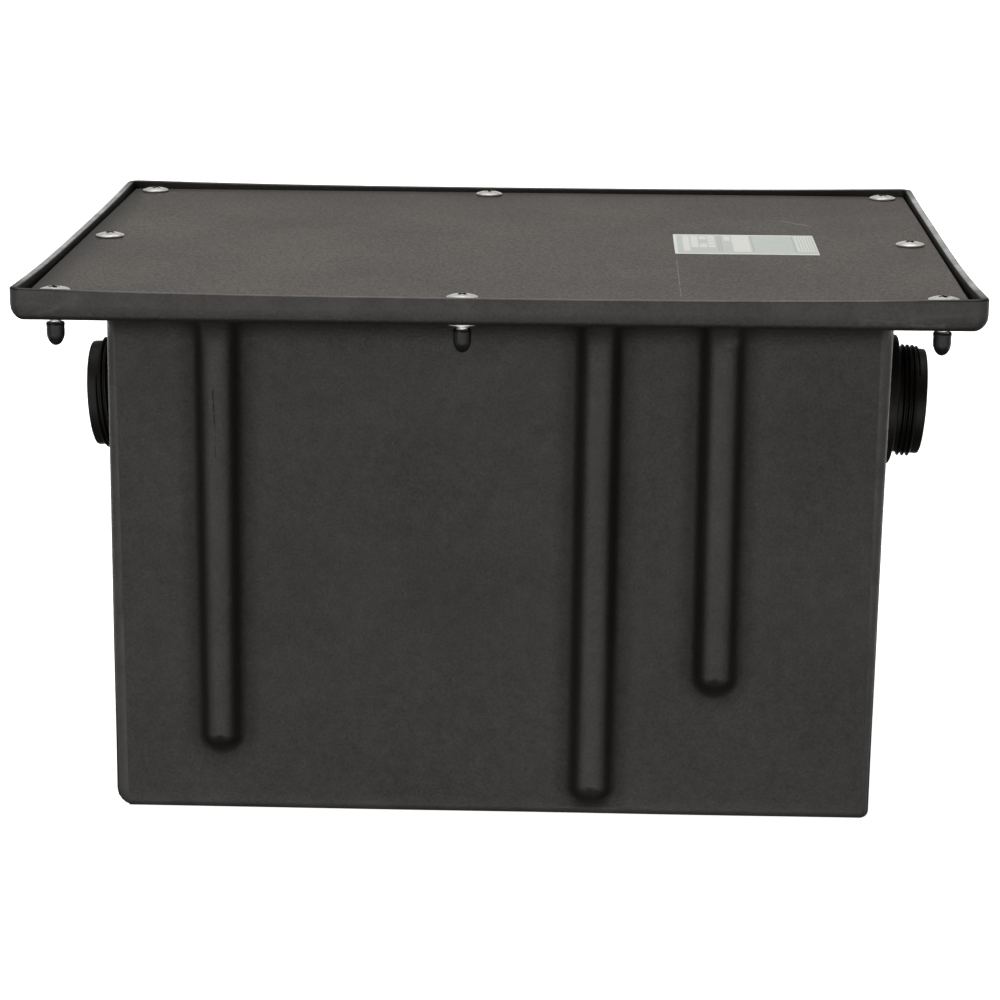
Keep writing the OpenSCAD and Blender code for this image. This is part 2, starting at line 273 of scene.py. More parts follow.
@dataclass(frozen=True)
class RotomouldedPolyethylene:
    """Black polyethylene from a rotational mould, for the tank."""

    colour: str = "#0f0d0b"
    cloudy: str = "#171411"
    sheen: str = "#fffcf7"
    rubbed: str = "#acacaa"
    scuffed: str = "#3c3b39"
    # Colour of the scratches, and of the painted shade in the groove inside the lip and beside the ribs.
    scratched_and_shaded: str = "#080808"
    scuffs: tuple[Mark, ...] = (
        Mark((190.0, -180.0, 266.0), 34.0, 3.2, -2.0, True, 1.0),
        Mark((204.0, -180.0, 264.0), 20.0, 2.6, 3.0, True, 1.0),
        Mark((212.0, -180.0, 268.6), 18.0, 2.4, 0.0, True, 1.0),
        Mark((-208.0, -180.0, 268.0), 22.0, 3.0, -24.0, True, 1.0),
        Mark((129.2, -141.0, 165.6), 1.2, 0.7, 20.0, True, 0.0),
        Mark((115.0, -152.0, 249.0), 9.0, 4.0, 10.0, True, 1.0),
    )
    scratches: tuple[Mark, ...] = (
        Mark((-137.9, -152.0, 214.0), 17.0, 0.7, 88.5, True, 0.7),
        Mark((-137.4, -152.0, 199.0), 22.0, 0.5, 90.0, True, 1.0),
    )

    def material(self) -> bpy.types.Material:
        """Makes the tank's skin.

        Returns:
            The material.
        """
        # Powder fused against a hot blasted mould gives a satin black with a fine grain, a slow ripple and a
        # cloudy tone. Edges rub pale. Where the vertex attribute is below 0, painted shade darkens the skin
        # and
        # dulls its gloss: in the groove inside the lip and beside the ribs' feet, with a little grime at the
        # lip's corners.
        # The real grain is finer than 1 mm, and is drawn coarser so that it shows.
        surface = Surface("rotomoulded_polyethylene", IOR=1.5, Specular_Tint=linear(self.sheen))
        add = surface.add
        place = surface.place
        grain = add("TexNoise", {"Vector": place, "Scale": per_mm(1.3), "Detail": 3.0, "Roughness": 0.6})
        ripple = add("TexNoise", {"Vector": place, "Scale": per_mm(16.0), "Detail": 2.0})
        mottle = add("TexNoise", {"Vector": place, "Scale": per_mm(5.0), "Detail": 4.0, "Roughness": 0.7})
        cloud = add("TexNoise", {"Vector": place, "Scale": per_mm(55.0), "Detail": 4.0, "Roughness": 0.6})
        dust = add("TexNoise", {"Vector": place, "Scale": per_mm(2.6), "Detail": 1.0})
        mixed = add("Math", {0: cloud, 1: 0.5, 2: grain}, operation="MULTIPLY_ADD")
        tone = add("MapRange", {"Value": mixed, 1: 0.5, 2: 1.0})
        wear_and_shade = add("Attribute", out="Fac", attribute_name="wear_and_shade")
        patch = add("MapRange", {"Value": ripple, 1: 0.34, 2: 0.62, 3: 0.6, 4: 1.0})
        rub = add("Math", {0: wear_and_shade, 1: patch}, operation="MULTIPLY")
        # Below 0 the attribute is painted shade, with a little grime at the lip's corners.
        grime_and_shade = add("Math", {0: wear_and_shade, 1: -1.0}, operation="MULTIPLY")
        speck = add("MapRange", {"Value": dust, 1: 0.79, 2: 0.82, 3: 0.0, 4: 0.3})
        pale = surface.most_of([speck] + [mark.mask(surface, 0.45) for mark in self.scuffs])
        dark = surface.most_of([grime_and_shade] + [mark.mask(surface, 0.3) for mark in self.scratches])
        gleam = add("MapRange", {"Value": mixed, 1: 0.5, 2: 1.0, 3: 0.4, 4: 0.6})
        dull = add("MapRange", {"Value": dark, 3: 1.0, 4: 0.08})
        shine = add("Math", {0: gleam, 1: dull}, operation="MULTIPLY")
        coats = [(tone, self.cloudy), (rub, self.rubbed), (pale, self.scuffed), (dark, self.scratched_and_shaded)]
        bumps = [(ripple, 0.35, 0.4), (grain, 1.0, 0.2)]
        return surface.finish(self.colour, coats, (mottle, 0.48, 0.58), bumps, Specular_IOR_Level=shine)


@dataclass(frozen=True)
class PressedSheet:
    """Grey-brown polyethylene sheet, pressed with a fine matt face, for the cover."""

    colour: str = "#332d29"
    fleck: str = "#5c5650"
    pale: str = "#8a8781"
    dark: str = "#1c1a18"
    rust: str = "#7a4a40"
    pale_marks: tuple[Mark, ...] = (
        Mark((158.5, 70.2, 271.6), 24.0, 1.2, -49.0, False, 0.5),
        Mark((89.5, -104.0, 271.6), 100.0, 0.6, 90.0, False, 1.0),
        Mark((-60.0, 96.0, 271.6), 20.0, 0.5, 12.0, False, 1.0),
    )
    dark_marks: tuple[Mark, ...] = (
        Mark((-77.0, -67.0, 271.6), 22.0, 0.8, 24.0, False, 0.55),
        Mark((60.0, 128.0, 271.6), 14.0, 0.7, 8.0, False, 0.6),
    )
    rust_marks: tuple[Mark, ...] = (Mark((219.5, 12.5, 271.6), 9.0, 4.5, 10.0, False, 0.9),)
    # Painted shade along the left and back edges, where the lips shade the plate, and a slow darkening
    # towards the back: each axis, where the darkening is full, where it is gone, and its strength.
    shaded_edges: tuple[tuple[str, float, float, float], ...] = (
        ("X", -228.0, -206.0, 0.9),
        ("Y", 177.0, 150.0, 0.75),
        ("Y", 170.0, 20.0, 0.22),
    )

    def material(self) -> bpy.types.Material:
        """Makes the cover's face.

        Returns:
            The material.
        """
        # Sheet pressed against a blasted plate gives a matt grey-brown with a fine two-tone fleck, broad
        # clouds from handling and a few scratches. Painted shade darkens the left and back edges, where the
        # lips shade the plate, and the plate darkens slowly towards the back. The fleck is drawn coarser than
        # the real one, so that it shows.
        surface = Surface("pressed_polyethylene_sheet", IOR=1.5)
        add = surface.add
        place = surface.place
        grain = add("TexNoise", {"Vector": place, "Scale": per_mm(1.6), "Detail": 4.0, "Roughness": 0.75})
        cloud = add("TexNoise", {"Vector": place, "Scale": per_mm(70.0), "Detail": 3.0})
        mixed = add("Math", {0: cloud, 1: 0.25, 2: grain}, operation="MULTIPLY_ADD")
        coats = [(add("MapRange", {"Value": mixed, 1: 0.54, 2: 0.72}), self.fleck)]
        layers = ((self.pale_marks, self.pale), (self.dark_marks, self.dark), (self.rust_marks, self.rust))
        for marks, hex_colour in layers:
            coats.append((surface.most_of([mark.mask(surface, 0.3) for mark in marks]), hex_colour))
        # Painted shade under the lips and towards the back, in the dark colour.
        axes = add("SeparateXYZ", {0: place}).node.outputs
        edges = []
        for axis, edge, clear, most in self.shaded_edges:
            fade = {"Value": axes[axis], 1: edge * MM, 2: clear * MM, 3: most, 4: 0.0}
            edges.append(add("MapRange", fade, interpolation_type="SMOOTHSTEP"))
        coats.append((surface.most_of(edges), self.dark))
        return surface.finish(self.colour, coats, (cloud, 0.62, 0.74), [(grain, 0.5, 0.08)])


@dataclass(frozen=True)
class InjectionMouldedAbs:
    """Black ABS from an injection mould, for the stubs and their lock nuts."""

    colour: str = "#0c0a07"
    faded: str = "#16130e"
    parting_z: float = 193.0
    parting_w: float = 0.4

    def material(self) -> bpy.types.Material:
        """Makes the stubs' skin.

        Returns:
            The material.
        """
        # Plastic shot into a steel mould gives a semi-gloss black with faint flow marks, a fine texture and
        # the line where the mould's halves meet. The texture is drawn coarser than the real one.
        surface = Surface("injection_moulded_abs", IOR=1.53, Specular_IOR_Level=0.2)
        add = surface.add
        flow = add("TexNoise", {"Vector": surface.place, "Scale": per_mm(14.0), "Detail": 4.0})
        grain = add("TexNoise", {"Vector": surface.place, "Scale": per_mm(0.9), "Detail": 2.0})
        height = add("SeparateXYZ", {0: surface.place}, "Z")
        off = add("Math", {0: height, 1: self.parting_z * MM}, operation="SUBTRACT")
        far = add("Math", {0: off}, operation="ABSOLUTE")
        line = add("MapRange", {"Value": far, 1: self.parting_w * MM, 2: 0.0})
        tone = add("MapRange", {"Value": flow, 1: 0.35, 2: 0.7})
        coats = [(surface.most_of([tone, line]), self.faded)]
        bumps = [(line, 0.35, 0.1), (grain, 0.25, 0.05)]
        return surface.finish(self.colour, coats, (flow, 0.46, 0.56), bumps)


@dataclass(frozen=True)
class TumbledSteel:
    """Cold-headed steel, tumbled bright, for the screws; with a dull zinc plate, for the tee nuts."""

    name: str = "stainless_steel"
    colour: str = "#efeeea"
    stained: str = "#b4b0a8"
    # Painted shade for the recesses.
    recess_shade: str = "#1a1816"
    bare: float = 0.75

    def material(self) -> bpy.types.Material:
        """Makes the metal.

        Returns:
            The material.
        """
        # Heads knocked about in a tumbler are bright, with small dents, and stained in patches. The recesses,
        # where the sunk attribute is 1, are darkened with painted shade.
        surface = Surface(self.name, Metallic=self.bare)
        add = surface.add
        dents = add("TexNoise", {"Vector": surface.place, "Scale": per_mm(1.8), "Detail": 3.0})
        stain = add("TexNoise", {"Vector": surface.place, "Scale": per_mm(4.0), "Detail": 4.0})
        share = add("MapRange", {"Value": stain, 1: 0.52, 2: 0.75, 3: 0.0, 4: 0.7})
        sunk = add("Attribute", out="Fac", attribute_name="sunk")
        coats = [(share, self.stained), (sunk, self.recess_shade)]
        return surface.finish(self.colour, coats, (stain, 0.28, 0.45), [(dents, 0.3, 0.06)], (0.3, 0.75))


@dataclass(frozen=True)
class DippedVinyl:
    """Soft black vinyl, dip-moulded, for the caps on the screw ends."""

    colour: str = "#0c0c0c"
    bloom: str = "#1b1b1b"

    def material(self) -> bpy.types.Material:
        """Makes the caps' skin.

        Returns:
            The material.
        """
        # Vinyl that ran down a dipped pin gives a glossy black with slow runs and a dull bloom between them.
        surface = Surface("dipped_vinyl", IOR=1.53, Specular_IOR_Level=0.22)
        runs = surface.add("Mapping", {"Vector": surface.place, "Scale": (1.0, 1.0, 0.25)})
        wave = surface.add("TexNoise", {"Vector": runs, "Scale": per_mm(3.0), "Detail": 2.0})
        return surface.finish(self.colour, [(wave, self.bloom)], (wave, 0.26, 0.4), [(wave, 0.3, 0.15)])


@dataclass(frozen=True)
class SheetRubber:
    """Black EPDM sheet rubber, cut to shape, for the gaskets."""

    colour: str = "#151515"
    chalk: str = "#2b2b2a"

    def material(self) -> bpy.types.Material:
        """Makes the gaskets' face.

        Returns:
            The material.
        """
        # Rubber pressed between cloths is dull, with a faint print of the cloth and chalky patches.
        surface = Surface("epdm_sheet_rubber", IOR=1.52)
        add = surface.add
        cloth = add("TexNoise", {"Vector": surface.place, "Scale": per_mm(0.8), "Detail": 2.0})
        chalk = add("TexNoise", {"Vector": surface.place, "Scale": per_mm(22.0), "Detail": 5.0})
        share = add("MapRange", {"Value": chalk, 1: 0.45, 2: 0.75})
        return surface.finish(self.colour, [(share, self.chalk)], (chalk, 0.7, 0.86), [(cloth, 0.4, 0.06)])


@dataclass(frozen=True)
class PlateFoil:
    """Satin aluminium foil with blank ruled fields, for the label. Lengths are in millimetres.

    Attributes:
        spans: Each pale field, from one X to another and from one Y to another, from the form's left middle.
        rules: Each set of rules: where they stand, and their middle, width and length.
        ticks: Where the short ticks stand along Y.
        tick_x: Where they stand along X.
        tick_size: Their size along X and along Y.
    """

    centre: Place = (127.45, -2.5, 271.85)
    length: float = 76.5
    depth: float = 62.0
    margin: float = 1.6
    border: str = "#e8e8e4"
    ground: str = "#c4c9c2"
    panel: str = "#dedfd9"
    rule: str = "#a2a8a2"
    spans: tuple[tuple[float, float, float, float], ...] = (
        (4.9, 8.4, -21.9, 27.0),
        (9.2, 13.0, -10.1, 27.0),
        (13.8, 17.6, 15.2, 25.3),
        (13.8, 17.6, -10.1, 1.7),
        (18.2, 21.9, -10.1, 27.0),
        (26.8, 30.3, 11.8, 27.0),
        (31.1, 40.3, -22.9, 28.0),
        (64.8, 73.5, -20.2, 27.0),
    )
    rules: tuple[tuple[tuple[float, ...], float, float, float], ...] = (
        ((23.6, 25.0, 41.6, 63.6), 2.0, 0.4, 50.0),
        ((66.4, 68.0, 69.6, 71.2, 72.6), 3.4, 0.35, 44.0),
    )
    ticks: tuple[float, ...] = (-1.0, 8.0, 17.0)
    tick_x: float = 20.0
    tick_size: Span = (3.6, 0.8)

    def fields(self) -> list[tuple[str, list[Mark]]]:
        """Lays out the blank form: its ground inside the bright border, pale fields, and rules.

        Returns:
            Each colour with the marks that it fills.
        """
        x, y, z = self.centre
        left = x - self.length / 2.0
        inside = Mark(self.centre, self.length - 2 * self.margin, self.depth - 3 * self.margin)
        pale = []
        for x0, x1, y0, y1 in self.spans:
            pale.append(Mark((left + (x0 + x1) / 2, y + (y0 + y1) / 2, z), x1 - x0, y1 - y0))
        lines = []
        for places, middle, width, length in self.rules:
            lines += [Mark((left + at, y + middle, z), width, length) for at in places]
        lines += [Mark((left + self.tick_x, y + at, z), *self.tick_size) for at in self.ticks]
        return [(self.ground, [inside]), (self.panel, pale), (self.rule, lines)]

    def material(self) -> bpy.types.Material:
        """Makes the label's face.

        Returns:
            The material.
        """
        # Rolled foil under a clear print: a satin silver with fine lines along the rolling, a bright border,
        # pale blank fields and thin rules. The rolling lines are drawn coarser than the real ones.
        surface = Surface("satin_aluminium_foil", Metallic=0.15)
        rolled = surface.add("Mapping", {"Vector": surface.place, "Scale": (0.04, 1.0, 1.0)})
        lines = surface.add("TexNoise", {"Vector": rolled, "Scale": per_mm(0.8), "Detail": 3.0})
        stain = surface.add("TexNoise", {"Vector": surface.place, "Scale": per_mm(18.0), "Detail": 4.0})
        coats = [(stain, self.panel)]
        for hex_colour, marks in self.fields():
            coats.append((surface.most_of([mark.mask(surface, 0.01) for mark in marks]), hex_colour))
        return surface.finish(self.border, coats, (stain, 0.38, 0.5), [(lines, 0.15, 0.03)])


@dataclass(frozen=True)
class SawnSheet:
    """Grey polypropylene sheet, sawn and machined, for the baffles."""

    colour: str = "#3b3b39"
    chalk: str = "#52524e"

    def material(self) -> bpy.types.Material:
        """Makes the baffles' face.

        Returns:
            The material.
        """
        # Extruded sheet is a dull grey with upright lines from the die and a greasy bloom.
        surface = Surface("polypropylene_sheet", IOR=1.49)
        add = surface.add
        drawn = add("Mapping", {"Vector": surface.place, "Scale": (1.0, 1.0, 0.05)})
        lines = add("TexNoise", {"Vector": drawn, "Scale": per_mm(1.2), "Detail": 3.0})
        bloom = add("TexNoise", {"Vector": surface.place, "Scale": per_mm(40.0), "Detail": 4.0})
        mixed = add("Math", {0: lines, 1: bloom}, operation="MULTIPLY")
        tone = add("MapRange", {"Value": mixed, 1: 0.12, 2: 0.42})
        return surface.finish(self.colour, [(tone, self.chalk)], (bloom, 0.42, 0.6), [(lines, 0.3, 0.06)])


@dataclass(frozen=True)
class MattPaper:
    """White background paper, lit through from behind, for the studio."""

    colour: str = "#f4f4f3"
    shade: str = "#f0f0ee"
    glow: float = 1.0

    def material(self) -> bpy.types.Material:
        """Makes the paper.

        Returns:
            The material.
        """
        # Uncoated paper is nearly white and quite matt, with a faint cloud of fibres.
        lit = linear(self.colour)
        surface = Surface("matt_paper", Roughness=0.9, Emission_Strength=self.glow, Emission_Color=lit)
        fibre = surface.add("TexNoise", {"Vector": surface.place, "Scale": per_mm(30.0), "Detail": 4.0})
        return surface.finish(self.colour, [(fibre, self.shade)])


def link(item: bpy.types.Object) -> None:
    """Puts an object in the scene."""
    bpy.context.scene.collection.objects.link(item)


def close_skin(bm: bmesh.types.BMesh, sharp: float = 32.0) -> None:
    """Merges doubled points, turns the faces outwards, and shades them smooth between sharp edges.

    Faces with more than four corners are flat ones, and stay flat.

    Args:
        bm: The mesh.
        sharp: Angle in degrees past which an edge is sharp.
    """
    bmesh.ops.remove_doubles(bm, verts=bm.verts, dist=0.002)
    bmesh.ops.recalc_face_normals(bm, faces=bm.faces)
    for face in bm.faces:
        face.smooth = len(face.verts) <= 4
    for edge in bm.edges:
        edge.smooth = edge.calc_face_angle(0.0) < math.radians(sharp)


def as_mesh(bm: bmesh.types.BMesh, name: str) -> bpy.types.Mesh:
    """Writes a bmesh to a new mesh and frees it.

    Args:
        bm: The bmesh.
        name: The mesh's name.

    Returns:
        The mesh.
    """
    mesh = bpy.data.meshes.new(name)
    bm.to_mesh(mesh)
    bm.free()
    return mesh


def stamp(bm: bmesh.types.BMesh, mesh: bpy.types.Mesh, matrix: Matrix) -> None:
    """Adds a copy of a mesh to a bmesh, in its place.

    Args:
        bm: The bmesh that takes the copy.
        mesh: The mesh that is copied.
        matrix: The copy's place.
    """
    first = len(bm.verts)
    bm.from_mesh(mesh)
    bm.verts.ensure_lookup_table()
    bmesh.ops.transform(bm, matrix=matrix, verts=bm.verts[first:])


def boolean(bm: bmesh.types.BMesh, cutter: bmesh.types.BMesh, cut: Cut) -> None:
    """Cuts a shape out of a mesh, or joins it on.

    Args:
        bm: The mesh, changed in place.
        cutter: The other shape, freed here.
        cut: What to do with it.
    """
    meshes = [bpy.data.meshes.new("carved"), as_mesh(cutter, "cutter")]
    bm.to_mesh(meshes[0])
    objects = [bpy.data.objects.new(mesh.name, mesh) for mesh in meshes]
    for item in objects:
        link(item)
    step = objects[0].modifiers.new("cut", "BOOLEAN")
    step.object = objects[1]
    step.operation = cut.value
    step.solver = "EXACT"
    carved = objects[0].evaluated_get(bpy.context.evaluated_depsgraph_get())
    result = carved.to_mesh()
    bm.clear()
    bm.from_mesh(result)
    carved.to_mesh_clear()
    for item in objects:
        bpy.data.objects.remove(item)
    for mesh in meshes:
        bpy.data.meshes.remove(mesh)


def ease(bm: bmesh.types.BMesh, geom: list, size: float, what: Eased, segments: int) -> None:
    """Rounds corners or edges.

    Args:
        bm: The mesh.
        geom: The corners or edges.
        size: The rounding's size.
        what: Which of the two they are.
        segments: Steps in the rounding.
    """
    shape = {"affect": what.value, "segments": segments, "profile": 0.5, "material": -1}
    bmesh.ops.bevel(bm, geom=geom, offset=size, offset_type="OFFSET", **shape)


def round_plate(half: Span, corner: float, segments: int) -> bmesh.types.BMesh:
    """Lays a flat rectangle with round corners.

    Args:
        half: Half its length and depth.
        corner: Radius of its corners.
        segments: Steps in a corner.

    Returns:
        The flat rectangle, at height 0.
    """
    bm = bmesh.new()
    bmesh.ops.create_grid(bm, x_segments=1, y_segments=1, size=1.0)
    bmesh.ops.scale(bm, vec=(*half, 1.0), verts=bm.verts)
    ease(bm, bm.verts[:], corner, Eased.CORNERS, segments)
    return bm


def add_rod(bm: bmesh.types.BMesh, radius: float, length: float, segments: int, matrix: Matrix) -> None:
    """Adds a round rod along Z, the cutter of a hole.

    Args:
        bm: The bmesh that takes it.
        radius: Its radius.
        length: Its length.
        segments: Sides of its section.
        matrix: Place of its middle.
    """
    round_ends = {"radius1": radius, "radius2": radius, "cap_ends": True}
    bmesh.ops.create_cone(bm, segments=segments, depth=length, matrix=matrix, **round_ends)


def revolve(bm: bmesh.types.BMesh, points: list[Span], steps: int, ring: bool) -> None:
    """Spins a section about Z.

    Args:
        bm: The bmesh that takes the skin.
        points: The section, as radius and height.
        steps: Steps in the full turn.
        ring: True where the section is a closed loop, False where it runs from the axis to the axis.
    """
    verts = [bm.verts.new((r, 0.0, z)) for r, z in points]
    ends = verts[1:] + verts[:1] if ring else verts[1:]
    edges = [bm.edges.new(pair) for pair in zip(verts, ends)]
    about = {"cent": (0, 0, 0), "axis": (0, 0, 1), "angle": TURN}
    bmesh.ops.spin(bm, geom=verts + edges, steps=steps, use_merge=True, **about)


@dataclass(frozen=True)
class Thread:
    """A helical ridge, in millimetres.

    Attributes:
        root_r: Radius of the shaft that carries it.
        crest_r: Radius over its crest.
        pitch: Rise in a turn.
        turns: Number of turns.
        start: Height of its first turn.
        steps: Steps in a turn.
        fade: Turns over which it rises out of the shaft at each end.
        sunk: How deep its foot lies in the shaft.
        foot: Half of its foot, as a share of the pitch.
        crest: Half of its crest, as a share of the pitch.
    """

    root_r: float
    crest_r: float
    pitch: float
    turns: float
    start: float
    steps: int = 72
    fade: float = 0.3
    sunk: float = 0.25
    foot: float = 0.47
    crest: float = 0.09

    def wind(self, bm: bmesh.types.BMesh) -> None:
        """Spins the ridge's section along the helix, closes its ends and fades them into the shaft.

        Args:
            bm: The bmesh that takes it.
        """
        first = len(bm.verts)
        low = self.root_r - self.sunk
        top = self.crest_r
        section = ((low, -self.foot), (low, self.foot), (top, self.crest), (top, -self.crest))
        verts = [bm.verts.new((r, 0.0, self.start + share * self.pitch)) for r, share in section]
        edges = [bm.edges.new(pair) for pair in zip(verts, verts[1:] + verts[:1])]
        count = int(self.turns * self.steps)
        rise = (0, 0, self.turns * self.pitch / count)
        about = {"cent": (0, 0, 0), "axis": (0, 0, 1), "angle": TURN * self.turns}
        wound = bmesh.ops.spin(bm, geom=verts + edges, dvec=rise, steps=count, **about)
        last = [item for item in wound["geom_last"] if isinstance(item, bmesh.types.BMEdge)]
        for loop in (edges, last):
            bmesh.ops.contextual_create(bm, geom=loop)
        bm.verts.ensure_lookup_table()
        for vert in bm.verts[first:]:
            run = (vert.co.z - self.start) / self.pitch
            share = min(max(min(run, self.turns - run) / self.fade, 0.0), 1.0)
            radius = vert.co.xy.length
            scale = (low + (radius - low) * share) / radius
            vert.co.x *= scale
            vert.co.y *= scale


def set_piece(
    name: str, bm: bmesh.types.BMesh, material: bpy.types.Material, body: Body, slot: Slot, node: str
) -> None:
    """Turns a finished bmesh into a piece that stands for a CAD node.

    Args:
        name: The piece's name.
        bm: Its mesh in millimetres, freed here.
        material: Its material.
        body: The body that it rides on.
        slot: Not used.
        node: The CAD node that it stands for.
    """
    bmesh.ops.scale(bm, vec=(MM, MM, MM), verts=bm.verts)
    mesh = as_mesh(bm, name)
    mesh.materials.append(material)
    piece = bpy.data.objects.new(name, mesh)
    link(piece)
    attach(piece, body.value)
    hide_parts(node)
    log.info("%s: %d faces", name, len(mesh.polygons))


def dress_node(node: str, material: bpy.types.Material) -> None:
    """Gives a CAD node whose shape stays its finished material.

    Args:
        node: The node's name.
        material: Its material.
    """
    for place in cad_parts[node].material_slots:
        place.material = material
    log.info("%s: CAD shape, %s", node, material.name)


SCREW_PLACES = (
    (-212.6, -163.5),
    (-15.7, -163.5),
    (214.5, -163.5),
    (-212.6, 0.0),
    (214.5, 0.0),
    (-212.6, 163.5),
    (-15.7, 163.5),
    (214.5, 163.5),
)


def port_matrix(side: Side, port_z: float) -> Matrix:
    """Places a revolved piece on a port: its Z runs out of the tank.

    Args:
        side: The end of the tank.
        port_z: Height of the port's axis.

    Returns:
        The piece's matrix.
    """
    turn = Matrix.Rotation(math.pi / 2, 4, "Y")
    about = Matrix.Rotation(math.pi if side is Side.INLET else 0.0, 4, "Z")
    return Matrix.Translation((0.0, 0.0, port_z)) @ about @ turn


@dataclass(frozen=True)
class Ring:
    """One level of the tank's skin.

    Attributes:
        outline: The outline that it follows.
        grow: How far it lies outside that outline.
        z: Its height.
        slot_side: True inside the tank, where the ribs are slots.
        turn: Quarter turn round the base's edge, from 0 flat to 1 upright, or None off that edge.
        eased: Share of a rounding that is kept on the end walls and on the long walls.
        wear_and_shade: How rubbed it is, from 1 for rubbed pale, over 0 for clean, down to -1 for the darkest
            painted shade.
    """

    outline: Outline
    grow: float
    z: float
    slot_side: bool = False
    turn: float | None = None
    eased: Span = (1.0, 1.0)
    wear_and_shade: float = 0.0


@dataclass(frozen=True)
class Rib:
    """A hollow rib on both long walls.

    Attributes:
        x: Its place along the tank.
        end_z: Height of its lower end.
        shift: How far its outer face has moved along X in cooling, at the base and at the flange.
        slim: How much its outer face is drawn in on each side, at the base and at the flange.
    """

    x: float
    end_z: float
    shift: Span = (0.0, 0.0)
    slim: Span = (0.8, 0.8)

    def moved(self, high: float) -> Span:
        """Gives the outer face's shift and slimming at a height.

        Args:
            high: Share of the way from the base to the flange.

        Returns:
            The shift along X and the slimming on each side.
        """
        shift, slim = (low + (top - low) * high for low, top in (self.shift, self.slim))
        return shift, slim


